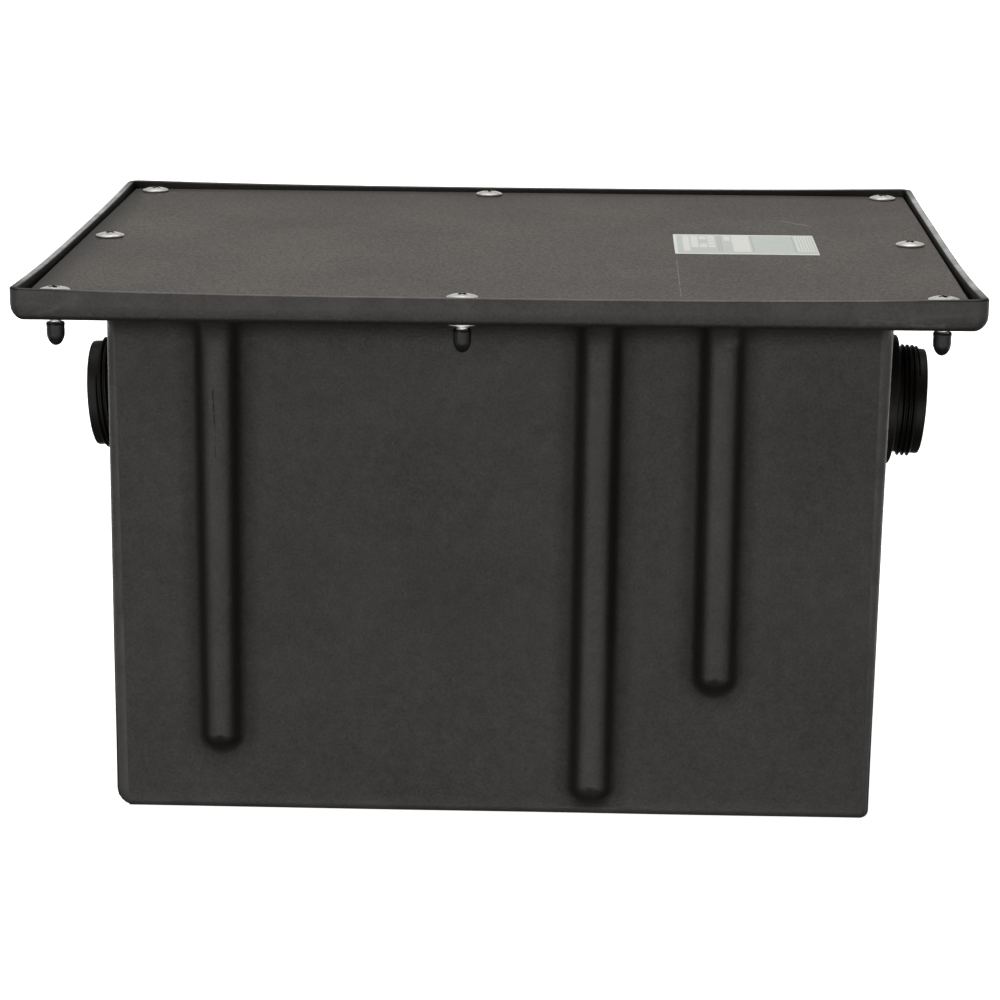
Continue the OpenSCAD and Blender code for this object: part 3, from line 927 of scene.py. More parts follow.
@dataclass
class Tank:
    """The moulded tank: one skin raised ring by ring from the base, over the lip and down inside."""

    rim_x: float = 230.0
    rim_y: float = 180.0
    height: float = 274.5
    wall: float = 4.8
    overhang: float = 37.0
    draft: float = 0.5
    body_corner_r: float = 6.0
    rim_corner_r: float = 7.5
    base_round_inlet: float = 9.0
    base_round_outlet: float = 4.0
    rim_height: float = 14.0
    flange_t: float = 4.8
    flange_inset: float = 11.0
    seat_inset: float = 19.0
    lip_t: float = 3.4
    rim_edge_r: float = 7.0
    long_edge_r: float = 3.2
    lip_edge_r: float = 0.7
    fillet_out: float = 12.0
    fillet_down: float = 20.0
    fillet_ends: float = 0.3
    mouth_r: float = 1.5
    ribs: tuple[Rib, ...] = (
        Rib(-136.5, 31.5, (-1.8, 0.0), (1.6, 0.6)),
        Rib(50.0, 7.0, (-1.0, 0.7)),
        Rib(110.0, 66.0, (0.6, 0.6)),
    )
    rib_half: float = 11.5
    crest_half: float = 6.5
    rib_height: float = 11.0
    crest_r: float = 7.0
    slot_crest_r: float = 1.2
    foot_r: float = 5.5
    nose_run: float = 4.5
    rib_steps: tuple[float, ...] = (
        0.0, 1.2, 2.2, 3.0, 3.7, 4.4, 5.2, 5.9, 6.5, 7.1, 7.8, 8.5, 9.2, 10.0, 10.9, 11.4, 11.9, 12.4, 12.9,
        13.5, 14.3, 15.1, 16.5, 18.5, 21.5,
    )
    rib_clear: float = 24.0
    end_below: float = 2.4
    end_step: float = 1.3
    end_rows: int = 13
    row_clear: float = 3.0
    lowest_row: float = 9.6
    port_z: float = 189.0
    port_r: float = 30.45
    port_cut: Span = (170.0, 210.0)
    seat_r: float = 42.0
    seat_x: float = 194.3
    inner_seat_x: float = 186.78
    seat_edge: float = 0.8
    nut_hole_r: float = 4.5
    nut_cut: Span = (-5.0, 11.0)
    sag_front: float = 0.6
    sag_back: float = 0.5
    rises: tuple[float, ...] = (1.6, 1.8, 1.5, 1.3)
    splay_inlet: float = 2.6
    splay_outlet: float = 5.2
    splay_run: float = 25.0
    bow_inlet: float = 0.7
    bow_outlet: float = 2.4
    lean_inlet: float = 4.2
    pull_inlet: float = 1.25
    flare_outlet: float = 1.3
    flare_from: float = 150.0
    waviness: float = 0.35
    wave_length: float = 95.0
    base_wear: float = 0.05
    wear_front: float = 0.22
    wear_back: float = 0.12
    # Painted highlight: how much paler the rib crests are painted.
    crest_highlight: float = 0.02
    corner_wear: float = 0.08
    corner_grime: float = 0.5
    # Painted shade beside the ribs: its darkest share at their feet, and the run over which it fades.
    rib_foot_shade: float = 0.5
    rib_shade_run: float = 10.0
    face_wear: float = 0.07
    # Share of the groove's painted shade that the long walls keep; the end walls keep all of it.
    groove_shade_long: float = 0.3
    outward: bmesh.types.BMLayerItem | None = field(default=None, init=False)
    along: bmesh.types.BMLayerItem | None = field(default=None, init=False)
    wear_and_shade: bmesh.types.BMLayerItem | None = field(default=None, init=False)

    @property
    def flange_z(self) -> float:
        """Height of the flange's underside."""
        return self.height - self.rim_height

    @property
    def seat_z(self) -> float:
        """Height of the flange's top."""
        return self.flange_z + self.flange_t

    @property
    def slope(self) -> float:
        """Angle of the ribs' flanks, in radians."""
        return math.atan2(self.rib_height, self.rib_half - self.crest_half)

    def stations(self) -> tuple[list[float], list[float]]:
        """Lays out where the skin is cut along the long and the short walls, close together at the ribs.

        Returns:
            The places along X and along Y.
        """
        places = [rib.x for rib in self.ribs]
        fine = {x + sign * step for x in places for step in self.rib_steps for sign in (-1, 1)}
        coarse = {x for x in range(-176, 177, 11) if all(abs(x - near) > self.rib_clear for near in places)}
        return sorted(fine | coarse), list(range(-120, 121, 12))

    def levels(self) -> list[float]:
        """Lays out the heights of the rings on the walls, close together round the ribs' lower ends.

        Returns:
            The heights, from the base up.
        """
        rows = range(self.end_rows)
        fine = [rib.end_z - self.end_below + self.end_step * i for rib in self.ribs for i in rows]
        coarse = [z for z in range(12, 237, 8) if all(abs(z - near) > self.row_clear for near in fine)]
        return sorted(z for z in fine + coarse if z > self.lowest_row)

    def rings(self) -> list[Ring]:
        """Lists the skin's levels in the order that they are raised.

        Returns:
            The rings, from the base outside, over the lip, to the floor inside.
        """
        body = Outline.BODY
        rim = Outline.RIM
        arc = [(math.sin(a), math.cos(a)) for a in map(math.radians, range(0, 91, 15))]
        rows = [Ring(body, 0.0, 0.0, turn=t, wear_and_shade=self.base_wear) for t in (0.0, 0.25, 0.5, 0.75, 1.0)]
        rows += [Ring(body, 0.0, z) for z in self.levels()]
        out = self.fillet_out
        down = self.fillet_down
        ends = (self.fillet_ends, 1.0)
        rows += [Ring(body, out * (1 - c), self.flange_z - down * (1 - s), eased=ends) for s, c in arc]
        rows += [Ring(rim, -self.flange_inset, self.flange_z)]
        r = self.rim_edge_r
        sides = (1.0, self.long_edge_r / r)
        rows += [Ring(rim, r * (s - 1), self.flange_z + r * (1 - c), eased=sides) for s, c in arc]
        rows += [Ring(rim, 0.0, self.flange_z + h, wear_and_shade=self.face_wear) for h in (7.5, 11.0)]
        r = self.lip_edge_r
        top = self.height - r
        inner = r - self.lip_t
        rows += [Ring(rim, r * (c - 1), top + r * s, wear_and_shade=max(s, self.face_wear)) for s, c in arc]
        rows += [Ring(rim, inner - r * s, top + r * c, wear_and_shade=c) for s, c in arc]
        # Painted shade darkens the groove inside the lip and the lip's inner face: the values below 0.
        groove = ((0.0, 5.0, -0.7), (0.0, 1.0, -1.0), (0.3, 0.3, -1.0), (1.0, 0.0, -1.0))
        rows += [Ring(rim, -self.lip_t - d, self.seat_z + h, wear_and_shade=w) for d, h, w in groove]
        rows += [Ring(rim, -self.seat_inset, self.seat_z)]
        r = self.mouth_r
        rows += [Ring(body, r * (1 - s) - self.wall, self.seat_z - r * (1 - c), True) for s, c in arc]
        rows += [Ring(body, -self.wall, z, True) for z in reversed(self.levels())]
        rows += [Ring(body, -self.wall, self.wall, True, t) for t in (1.0, 0.67, 0.33, 0.0)]
        return rows

    def rib_reach(self, x: float, z: float, slot_side: bool) -> tuple[float, float, float]:
        """Measures how far a point on a long wall is from the nearest rib.

        Args:
            x: Place along the wall.
            z: Height on the wall.
            slot_side: True for the slot inside a rib.

        Returns:
            Distance from the rib's spine, depth below the lower end of the spine, and the slimming there.
        """
        rib = min(self.ribs, key=lambda each: abs(x - each.x))
        shift, slim = rib.moved(z / self.flange_z)
        if slot_side:
            shift, slim = 0.0, self.wall / math.sin(self.slope) - self.wall / math.tan(self.slope)
        down = max(rib.end_z + self.rib_half - z, 0.0)
        return math.hypot(x - rib.x - shift, down), down, slim

    def rib_lift(self, x: float, z: float, slot_side: bool) -> float:
        """Measures how far the ribs carry the wall out.

        Args:
            x: Place along the wall.
            z: Height on the wall.
            slot_side: True for the slot inside a rib.

        Returns:
            The lift at that point.
        """
        reach, down, slim = self.rib_reach(x, z, slot_side)
        crest_r = self.slot_crest_r if slot_side else self.crest_r
        nose = (down / reach) ** 2 if down else 0.0
        reach += nose * self.nose_run * max(1.0 - reach / self.rib_half, 0.0) + slim
        crest_from = self.crest_half - crest_r * math.tan(self.slope / 2)
        foot_to = self.rib_half + self.foot_r * math.tan(self.slope / 2)
        if reach <= crest_from:
            return self.rib_height
        if reach >= foot_to:
            return 0.0
        if reach < crest_from + crest_r * math.sin(self.slope):
            return self.rib_height - crest_r + math.sqrt(crest_r**2 - (reach - crest_from) ** 2)
        if reach > foot_to - self.foot_r * math.sin(self.slope):
            return self.foot_r - math.sqrt(self.foot_r**2 - (foot_to - reach) ** 2)
        return (self.rib_half - reach) * math.tan(self.slope)

    def rib_shade(self, x: float, z: float) -> float:
        """Measures the painted shade beside the ribs, which is darkest at their feet and fades along the
        wall.

        Args:
            x: Place along the wall.
            z: Height on the wall.

        Returns:
            Its share, from 0 for none to 1.
        """
        reach, _, slim = self.rib_reach(x, z, False)
        past = reach + slim - self.rib_half
        rise = min(max(1.0 + past / (self.rib_half - self.crest_half), 0.0), 1.0)
        fall = max(1.0 - max(past, 0.0) / self.rib_shade_run, 0.0)
        return self.rib_foot_shade * rise * fall

    def lay_base(self) -> bmesh.types.BMesh:
        """Lays the base as a round-cornered plate, cut at every station, and notes each edge point's place.

        Returns:
            The base.
        """
        half = Vector((self.rim_x - self.overhang, self.rim_y - self.overhang))
        bm = round_plate((half.x, half.y), self.body_corner_r, segments=8)
        for axis, places in zip((Vector((1, 0, 0)), Vector((0, 1, 0))), self.stations()):
            for place in places:
                whole = bm.verts[:] + bm.edges[:] + bm.faces[:]
                bmesh.ops.bisect_plane(bm, geom=whole, plane_co=axis * place, plane_no=axis)
        self.outward = bm.verts.layers.float_vector.new("outward")
        self.along = bm.verts.layers.float.new("along")
        self.wear_and_shade = bm.verts.layers.float.new("wear_and_shade")
        for vert in bm.verts:
            x, y = vert.co.xy
            past = Vector((abs(x) - half.x + self.body_corner_r, abs(y) - half.y + self.body_corner_r))
            if min(past) > 0.01:
                past.normalize()
                vert[self.outward] = (math.copysign(past.x, x), math.copysign(past.y, y), 1.0)
            elif past.y > past.x:
                vert[self.outward] = (0.0, math.copysign(1.0, y), 0.0)
                vert[self.along] = x
            else:
                vert[self.outward] = (math.copysign(1.0, x), 0.0, 0.0)
                vert[self.along] = y
        return bm

    def seat_point(self, vert: bmesh.types.BMVert, ring: Ring) -> None:
        """Puts a point of the skin on its ring.

        Args:
            vert: The point.
            ring: The level that it belongs to.
        """
        out = vert[self.outward]
        along = vert[self.along]
        grow = ring.grow
        z = ring.z
        if ring.turn is not None:
            share = max(-out.x, 0.0) ** 2
            edge = self.base_round_outlet + (self.base_round_inlet - self.base_round_outlet) * share
            edge = max(edge - self.wall, 1.0) if ring.slot_side else edge
            grow -= edge * (1 - math.sin(ring.turn * math.pi / 2))
            z += edge * (1 - math.cos(ring.turn * math.pi / 2))
        if min(ring.eased) < 1.0:
            share = ring.eased[0] * out.x**2 + ring.eased[1] * out.y**2
            grow *= share
            z = self.flange_z + (z - self.flange_z) * share
        inset = 0.0
        corner = self.rim_corner_r
        lift = 0.0
        if ring.outline is Outline.BODY:
            inset = self.overhang + (self.flange_z - z) * math.tan(math.radians(self.draft))
            corner = self.body_corner_r
            lift = 0.0 if out.x else self.rib_lift(along, z, ring.slot_side)
        half = Vector((self.rim_x - inset + grow, self.rim_y - inset + grow))
        corner = max(corner + grow, 0.5)
        if out.z:
            centre = Vector((math.copysign(half.x - corner, out.x), math.copysign(half.y - corner, out.y)))
            spot = centre + out.xy * corner
        elif out.x:
            spot = Vector((out.x * half.x, along))
        else:
            spot = Vector((along, out.y * (half.y + lift)))
        vert.co = (*spot, z)
        vert[self.wear_and_shade] = self.wear_and_shade_at(vert, ring, lift)

    def wear_and_shade_at(self, vert: bmesh.types.BMVert, ring: Ring, lift: float) -> float:
        """Works out how rubbed a seated point is, and how much painted shade and grime darken it.

        Args:
            vert: The point.
            ring: The level that it belongs to.
            lift: How far a rib carries it out.

        Returns:
            Its wear, below 0 for painted shade and for the grime at the lip's corners.
        """
        out = vert[self.outward]
        corner = 2.0 * abs(out.x * out.y)
        # In the groove inside the lip: painted shade, strongest on the end walls.
        if ring.wear_and_shade < 0.0:
            return ring.wear_and_shade * (self.groove_shade_long + (1.0 - self.groove_shade_long) * out.x**2)
        if ring.wear_and_shade:
            share = out.x**2 + (self.wear_back if out.y > 0 else self.wear_front) * out.y**2
            rubbed = max(ring.wear_and_shade * share * (1.0 - corner) ** 2, min(ring.wear_and_shade, self.face_wear))
            return rubbed - self.corner_grime * corner if ring.wear_and_shade > self.face_wear else rubbed
        if ring.outline is Outline.RIM or ring.slot_side:
            return 0.0
        if out.z:
            return self.corner_wear
        if out.x:
            return 0.0
        # The crests are painted a little paler as a painted highlight, and painted shade darkens the wall
        # beside the ribs.
        return self.crest_highlight * (lift / self.rib_height) ** 2 - self.rib_shade(vert[self.along], vert.co.z)

    def relax(self, vert: bmesh.types.BMVert) -> None:
        """Moves a point as the real moulding has moved in cooling: lip warped, corners splayed, walls wavy.

        Args:
            vert: The point.
        """
        out = vert[self.outward]
        z = vert.co.z
        u = vert.co.x / self.rim_x
        v = vert.co.y / self.rim_y
        flat = out.xy * (self.waviness * noise.noise(vert.co / self.wave_length))
        if z > self.flange_z - 0.1 and abs(vert.co.x) > self.rim_x - self.splay_run:
            near = max(-v, 0.0) ** 3
            splay, bow = (self.splay_outlet, self.bow_outlet) if u > 0 else (self.splay_inlet, self.bow_inlet)
            flat.x += math.copysign(u**6 * (splay * near + bow * (1.0 - near)), u)
        elif out.x < 0:
            flat.x += out.x * (self.lean_inlet * (1.0 - z / self.flange_z) - self.pull_inlet)
        elif out.x > 0:
            high = max(z - self.flare_from, 0.0) / (self.flange_z - self.flare_from)
            flat.x += out.x * self.flare_outlet * high**1.3
        share = min(max((z - self.seat_z) / (self.height - self.seat_z), 0.0), 1.0)
        corners = ((-1, -1), (1, -1), (-1, 1), (1, 1))
        lift = -(self.sag_back if v > 0 else self.sag_front) * v**4 * (1.0 - u**2)
        for rise, (sx, sy) in zip(self.rises, corners):
            lift += rise * max(u * sx, 0.0) ** 3 * max(v * sy, 0.0) ** 3
        vert.co += Vector((flat.x, flat.y, lift * share))

    def build(self) -> bmesh.types.BMesh:
        """Raises the skin and cuts the ports and the nut holes.

        Returns:
            The tank's mesh.
        """
        bm = self.lay_base()
        edges = [edge for edge in bm.edges if edge.is_boundary]
        rings = self.rings()
        for vert in {vert for edge in edges for vert in edge.verts}:
            self.seat_point(vert, rings[0])
        for ring in rings[1:]:
            grown = bmesh.ops.extrude_edge_only(bm, edges=edges)["geom"]
            verts = {item for item in grown if isinstance(item, bmesh.types.BMVert)}
            for vert in verts:
                self.seat_point(vert, ring)
            raised = [item for item in grown if isinstance(item, bmesh.types.BMEdge)]
            edges = [edge for edge in raised if set(edge.verts) <= verts]
        bmesh.ops.contextual_create(bm, geom=edges)
        for vert in bm.verts:
            self.relax(vert)
        bm.verts.layers.float_vector.remove(bm.verts.layers.float_vector["outward"])
        bm.verts.layers.float.remove(bm.verts.layers.float["along"])
        bmesh.ops.recalc_face_normals(bm, faces=bm.faces)
        boolean(bm, self.port_pads(), Cut.JOIN)
        boolean(bm, self.holes(), Cut.TAKE)
        close_skin(bm)
        return bm

    def port_pads(self) -> bmesh.types.BMesh:
        """Makes the flat seats on both faces of the end walls, with their edges eased.

        Returns:
            Both ends' seats.
        """
        pad = bmesh.new()
        r = self.seat_r
        e = self.seat_edge
        low = self.inner_seat_x
        top = self.seat_x
        section = [(0.0, low), (r - e, low), (r, low + e), (r, top - e), (r - e, top), (0.0, top)]
        revolve(pad, section, steps=72, ring=False)
        close_skin(pad)
        mesh = as_mesh(pad, "pad")
        bm = bmesh.new()
        for side in Side:
            stamp(bm, mesh, port_matrix(side, self.port_z))
        return bm

    def holes(self) -> bmesh.types.BMesh:
        """Makes the cutters for the two ports and the eight nut holes.

        Returns:
            All the cutters.
        """
        bm = bmesh.new()
        low, top = self.port_cut
        middle = Matrix.Translation((0.0, 0.0, (low + top) / 2))
        for side in Side:
            add_rod(bm, self.port_r, top - low, 72, port_matrix(side, self.port_z) @ middle)
        low, top = self.nut_cut
        for x, y in SCREW_PLACES:
            spot = Matrix.Translation((x, y, self.flange_z + (low + top) / 2))
            add_rod(bm, self.nut_hole_r, top - low, 24, spot)
        return bm

    def dress(self, finish: RotomouldedPolyethylene) -> None:
        """Builds the tank in its finish and sets it in place."""
        set_piece("moulded_tank", self.build(), finish.material(), Body.TANK, Slot.TANK, "tank")


@dataclass
class Cover:
    """The cover: a pressed plate, its label, its eight screws, their nuts and their caps."""

    half: Span = (226.7, 174.7)
    slid: float = 0.9
    low_z: float = 266.8
    top_z: float = 271.6
    corner_r: float = 3.0
    edge: float = 0.5
    label_centre: Span = (126.9, -2.5)
    label_half: Span = (37.7, 31.0)
    label_t: float = 0.25
    label_corner_r: float = 1.0
    label_edge: float = 0.06
    head_r: float = 7.6
    head_h: float = 2.7
    head_edge: float = 1.15
    dome_steps: int = 9
    shank_r: float = 3.0
    plain_shank: float = 3.0
    screw_pitch: float = 1.27
    thread_depth: float = 0.45
    tip_z: float = 248.0
    slot_length: float = 8.4
    slot_w: float = 2.3
    slot_depth: float = 1.9
    slot_taper: Place = (0.42, 0.7, 1.0)
    recess_shade_depth: float = 0.12
    head_turns: tuple[float, ...] = (22.0, 48.0, 15.0, 64.0, 33.0, 71.0, 9.0, 52.0)
    head_lifts: tuple[float, ...] = (0.2, -0.9, 0.7, 0.0, 0.0, 0.0, 0.0, 0.0)
    flange_z: float = 260.5
    nut_plate_r: float = 7.75
    nut_waist: float = 4.05
    nut_flare: float = 0.24
    nut_plate_t: float = 1.5
    nut_barrel_r: float = 4.4
    nut_top_z: float = 265.0
    bore_r: float = 3.3
    cap_r: float = 4.5
    cap_length: float = 13.7
    cap_gap: float = 2.2
    cap_point: float = 1.45
    cap_tip_t: float = 2.4

    def plate(self, half: Span, low: float, top: float, corner: float, edge: float) -> bmesh.types.BMesh:
        """Makes a flat plate with round corners and eased edges.

        Args:
            half: Half its length and depth.
            low: Height of its underside.
            top: Height of its upper face.
            corner: Radius of its corners in plan.
            edge: Size of its eased edges.

        Returns:
            The plate.
        """
        bm = round_plate(half, corner, segments=6)
        bmesh.ops.translate(bm, vec=(0.0, 0.0, low), verts=bm.verts)
        raised = bmesh.ops.extrude_face_region(bm, geom=bm.faces[:], use_keep_orig=True)["geom"]
        verts = [item for item in raised if isinstance(item, bmesh.types.BMVert)]
        bmesh.ops.translate(bm, vec=(0.0, 0.0, top - low), verts=verts)
        bmesh.ops.recalc_face_normals(bm, faces=bm.faces)
        rims = [e for e in bm.edges if abs(e.verts[0].co.z - e.verts[1].co.z) < 0.01]
        ease(bm, rims, edge, Eased.EDGES, segments=2)
        close_skin(bm)
        return bm

    def screw(self) -> bpy.types.Mesh:
        """Makes one screw on the axis: domed head with a cross recess, and a threaded shank.

        Returns:
            The screw's mesh.
        """
        rise = self.head_h - self.head_edge
        dome_r = (self.head_r**2 + rise**2) / (2 * rise)
        dome_z = self.top_z + self.head_h - dome_r
        angle = math.asin((self.head_r - 0.15) / dome_r)
        turns = [angle * i / self.dome_steps for i in range(self.dome_steps + 1)]
        dome = [(dome_r * math.sin(a), dome_z + dome_r * math.cos(a)) for a in turns]
        core_r = self.shank_r - self.thread_depth
        rest = [
            (self.head_r, self.top_z + self.head_edge - 0.25),
            (self.head_r - 0.15, self.top_z + 0.5),
            (self.head_r - 0.6, self.top_z + 0.15),
            (self.head_r - 1.0, self.top_z),
            (self.shank_r, self.top_z),
            (self.shank_r, self.top_z - self.plain_shank),
            (core_r, self.top_z - self.plain_shank - 0.6),
            (core_r, self.tip_z + 0.8),
            (core_r - 0.6, self.tip_z),
            (0.0, self.tip_z),
        ]
        bm = bmesh.new()
        revolve(bm, dome + rest, steps=48, ring=False)
        close_skin(bm)
        for turn in (0.0, math.pi / 2):
            boolean(bm, self.recess(turn), Cut.TAKE)
        # Faces of the cross recess, sunk deeper than the given depth below the dome, take the painted shade.
        sunk = bm.faces.layers.float.new("sunk")
        for face in bm.faces:
            centre = face.calc_center_median()
            reach = min(centre.xy.length, dome_r)
            depth = dome_z + math.sqrt(dome_r**2 - reach**2) - centre.z
            if depth > self.recess_shade_depth and reach < self.slot_length / 2 and centre.z > self.top_z:
                face[sunk] = 1.0
        first = self.tip_z + 1.0
        turns_wound = (self.top_z - self.plain_shank - 1.0 - first) / self.screw_pitch
        Thread(core_r, self.shank_r, self.screw_pitch, turns_wound, first, steps=20).wind(bm)
        close_skin(bm, 40.0)
        return as_mesh(bm, "screw")

    def recess(self, turn: float) -> bmesh.types.BMesh:
        """Makes the cutter of one arm of the cross recess, a wedge that narrows downwards.

        Args:
            turn: The arm's turn about the screw, in radians.

        Returns:
            The cutter.
        """
        bm = bmesh.new()
        made = bmesh.ops.create_cube(bm, size=1.0)["verts"]
        foot = [vert for vert in made if vert.co.z < 0]
        bmesh.ops.scale(bm, vec=self.slot_taper, verts=foot)
        place = Matrix.Rotation(turn, 4, "Z") @ Matrix.Translation((0.0, 0.0, self.top_z + self.head_h))
        size = Matrix.Diagonal((self.slot_length, self.slot_w, 2 * self.slot_depth, 1.0))
        bmesh.ops.transform(bm, matrix=place @ size, verts=made)
        return bm

    def nut(self) -> bpy.types.Mesh:
        """Makes one tee nut on the axis: a two-eared plate and the barrel that sits in the flange.

        Returns:
            The nut's mesh.
        """
        low = self.flange_z - self.nut_plate_t
        rim = self.nut_plate_r
        barrel = self.nut_barrel_r
        section = [
            (self.bore_r, low),
            (barrel + 0.6, low),
            (rim - 1.6, low + 0.15),
            (rim - 0.4, low),
            (rim, low + 0.4),
            (rim, self.flange_z - 0.3),
            (rim - 0.3, self.flange_z),
            (barrel, self.flange_z),
            (barrel, self.nut_top_z - 0.3),
            (barrel - 0.3, self.nut_top_z),
            (self.bore_r, self.nut_top_z),
        ]
        bm = bmesh.new()
        revolve(bm, section, steps=40, ring=True)
        for vert in bm.verts:
            r = vert.co.xy.length
            if r > barrel + 0.1:
                vert.co.y *= (self.nut_waist + self.nut_flare * (r - barrel - 0.6)) / r
        close_skin(bm)
        return as_mesh(bm, "nut")

    def cap(self) -> bpy.types.Mesh:
        """Makes one cap on the axis: a round-tipped sleeve with a rolled mouth.

        Returns:
            The cap's mesh.
        """
        top = self.flange_z - self.nut_plate_t - self.cap_gap
        r = self.cap_r
        tip = self.flange_z - self.nut_plate_t - self.cap_length
        turns = [math.pi / 2 * i / 10 for i in range(11)]
        arc = [(0.98 * r * math.sin(a), tip + self.cap_point * r * (1 - math.cos(a))) for a in turns]
        rest = [
            (r * 0.97, top - 2.2),
            (r, top - 1.4),
            (r, top - 0.5),
            (r - 0.3, top - 0.05),
            (self.bore_r + 0.2, top),
            (self.bore_r, top - 0.4),
            (self.bore_r, tip + self.cap_tip_t),
            (0.0, tip + self.cap_tip_t),
        ]
        bm = bmesh.new()
        revolve(bm, arc + rest, steps=36, ring=False)
        close_skin(bm, 45.0)
        return as_mesh(bm, "cap")

    def at_screws(self, mesh: bpy.types.Mesh, turned: bool = True) -> bmesh.types.BMesh:
        """Carries a piece out to every screw.

        Args:
            mesh: The piece on the axis.
            turned: True if each is turned its own way.

        Returns:
            Its eight copies.
        """
        bm = bmesh.new()
        for (x, y), turn, lift in zip(SCREW_PLACES, self.head_turns, self.head_lifts):
            place = Matrix.Translation((x, y, lift))
            if turned:
                place = place @ Matrix.Rotation(math.radians(turn), 4, "Z")
            stamp(bm, mesh, place)
        return bm

    def dress(
        self,
        sheet: PressedSheet,
        foil: PlateFoil,
        steel: TumbledSteel,
        zinc: TumbledSteel,
        vinyl: DippedVinyl,
    ) -> None:
        """Builds the cover's pieces and sets them in place.

        Args:
            sheet: Finish of the plate.
            foil: Finish of the label.
            steel: Finish of the screws.
            zinc: Finish of the nuts.
            vinyl: Finish of the caps.
        """
        plate = self.plate(self.half, self.low_z, self.top_z, self.corner_r, self.edge)
        bmesh.ops.translate(plate, vec=(self.slid, 0.0, 0.0), verts=plate.verts)
        set_piece("cover_plate", plate, sheet.material(), Body.COVER, Slot.COVER, "cover")
        top = self.top_z + self.label_t
        label = self.plate(self.label_half, self.top_z, top, self.label_corner_r, self.label_edge)
        bmesh.ops.translate(label, vec=(*self.label_centre, 0.0), verts=label.verts)
        set_piece("bare_label", label, foil.material(), Body.COVER, Slot.LABEL, "rating_label")
        screws = self.at_screws(self.screw())
        set_piece("truss_screws", screws, steel.material(), Body.COVER, Slot.STEEL, "cover_screws")
        nuts = self.at_screws(self.nut(), turned=False)
        set_piece("plated_nuts", nuts, zinc.material(), Body.TANK, Slot.STEEL, "tee_nuts")
        caps = self.at_screws(self.cap())
        set_piece("vinyl_caps", caps, vinyl.material(), Body.TANK, Slot.CAP, "screw_caps")


@dataclass
class PipeStub:
    """A threaded pipe stub: tail, collar, outer thread, smooth end and the waterway through it.

    Attributes:
        side: The end of the tank that it stands on.
        port_z: Height of its axis.
        droop: How far it nods, in degrees.
        sunk: How far it is pressed into its gasket.
    """

    side: Side
    port_z: float = 189.0
    tail_x: float = 166.78
    collar_x: float = 195.68
    thread_x: float = 209.48
    pilot_x: float = 219.98
    end_x: float = 224.28
    droop: float = 3.2
    sunk: float = 0.3
    bore_r: float = 24.6
    thread_r: float = 29.9
    thread_depth: float = 1.7
    thread_pitch: float = 2.6
    tail_turns: float = 7.2
    collar_r: float = 34.8
    collar_nose: float = 1.1
    pilot_r: float = 28.2

    def section(self) -> list[Span]:
        """Draws the stub's section without its threads, as radius and distance from the tank's middle.

        Returns:
            The closed section.
        """
        root = self.thread_r - self.thread_depth
        nose = self.thread_x - self.collar_nose
        return [
            (self.bore_r + 0.6, self.tail_x),
            (root - 0.6, self.tail_x),
            (root, self.tail_x + 0.6),
            (root, self.collar_x - 9.0),
            (self.thread_r, self.collar_x - 8.0),
            (self.thread_r, self.collar_x),
            (self.collar_r - 0.7, self.collar_x),
            (self.collar_r, self.collar_x + 0.7),
            (self.collar_r, nose - 0.6),
            (self.collar_r - 0.25, nose - 0.1),
            (self.collar_r - 0.8, nose + 0.3),
            (self.thread_r + 0.9, self.thread_x - 0.3),
            (self.thread_r + 0.5, self.thread_x),
            (root, self.thread_x + 0.2),
            (root, self.pilot_x),
            (self.pilot_r, self.pilot_x + 0.2),
            (self.pilot_r, self.end_x - 1.0),
            (self.pilot_r - 0.3, self.end_x - 0.3),
            (self.pilot_r - 1.0, self.end_x),
            (self.bore_r + 0.8, self.end_x),
            (self.bore_r, self.end_x - 0.8),
            (self.bore_r, self.tail_x + 0.6),
        ]

    def build(self) -> bmesh.types.BMesh:
        """Spins the stub and winds its two threads.

        Returns:
            The stub's mesh, in its port.
        """
        bm = bmesh.new()
        revolve(bm, self.section(), steps=96, ring=True)
        root = self.thread_r - self.thread_depth
        pitch = self.thread_pitch
        turns = (self.pilot_x - self.thread_x) / pitch - 0.4
        Thread(root, self.thread_r, pitch, turns, self.thread_x + 0.55 * pitch).wind(bm)
        Thread(root, self.thread_r, pitch, self.tail_turns, self.tail_x + 0.6 * pitch).wind(bm)
        close_skin(bm, 34.0)
        place = port_matrix(self.side, self.port_z)
        seat = Matrix.Translation((0.0, 0.0, self.collar_x))
        pressed = Matrix.Translation((0.0, 0.0, -self.collar_x - self.sunk))
        nod = seat @ Matrix.Rotation(math.radians(self.droop), 4, "Y") @ pressed
        bmesh.ops.transform(bm, matrix=place @ nod, verts=bm.verts)
        return bm

    def dress(self, material: bpy.types.Material, rubber: bpy.types.Material) -> None:
        """Builds the stub, sets it in place, and dresses its gasket and lock nut.

        Args:
            material: The stub's and the lock nut's material.
            rubber: The gasket's material.
        """
        end = self.side.name.lower()
        set_piece(f"{end}_pipe_stub", self.build(), material, Body.TANK, Slot.STUB, f"{end}_stub")
        dress_node(f"{end}_gasket", rubber)
        dress_node(f"{end}_locknut", material)


@dataclass(frozen=True)
class SoftBox:
    """A soft light, in millimetres.

    Attributes:
        name: Its name.
        spot: Its place.
        aim: The point that it faces.
        size: Its width and height.
        power: Its power in watts.
    """

    name: str
    spot: Place
    aim: Place
    size: Span
    power: float

    def hang(self) -> None:
        """Hangs the light, out of the camera's sight."""
        data = bpy.data.lights.new(self.name, "AREA")
        data.shape = "RECTANGLE"
        data.size = self.size[0] * MM
        data.size_y = self.size[1] * MM
        data.energy = self.power
        light = bpy.data.objects.new(self.name, data)
        light.visible_camera = False
        place = Vector(self.spot) * MM
        facing = (Vector(self.aim) * MM - place).to_track_quat("-Z", "Y")
        light.matrix_world = Matrix.Translation(place) @ facing.to_matrix().to_4x4()
        link(light)


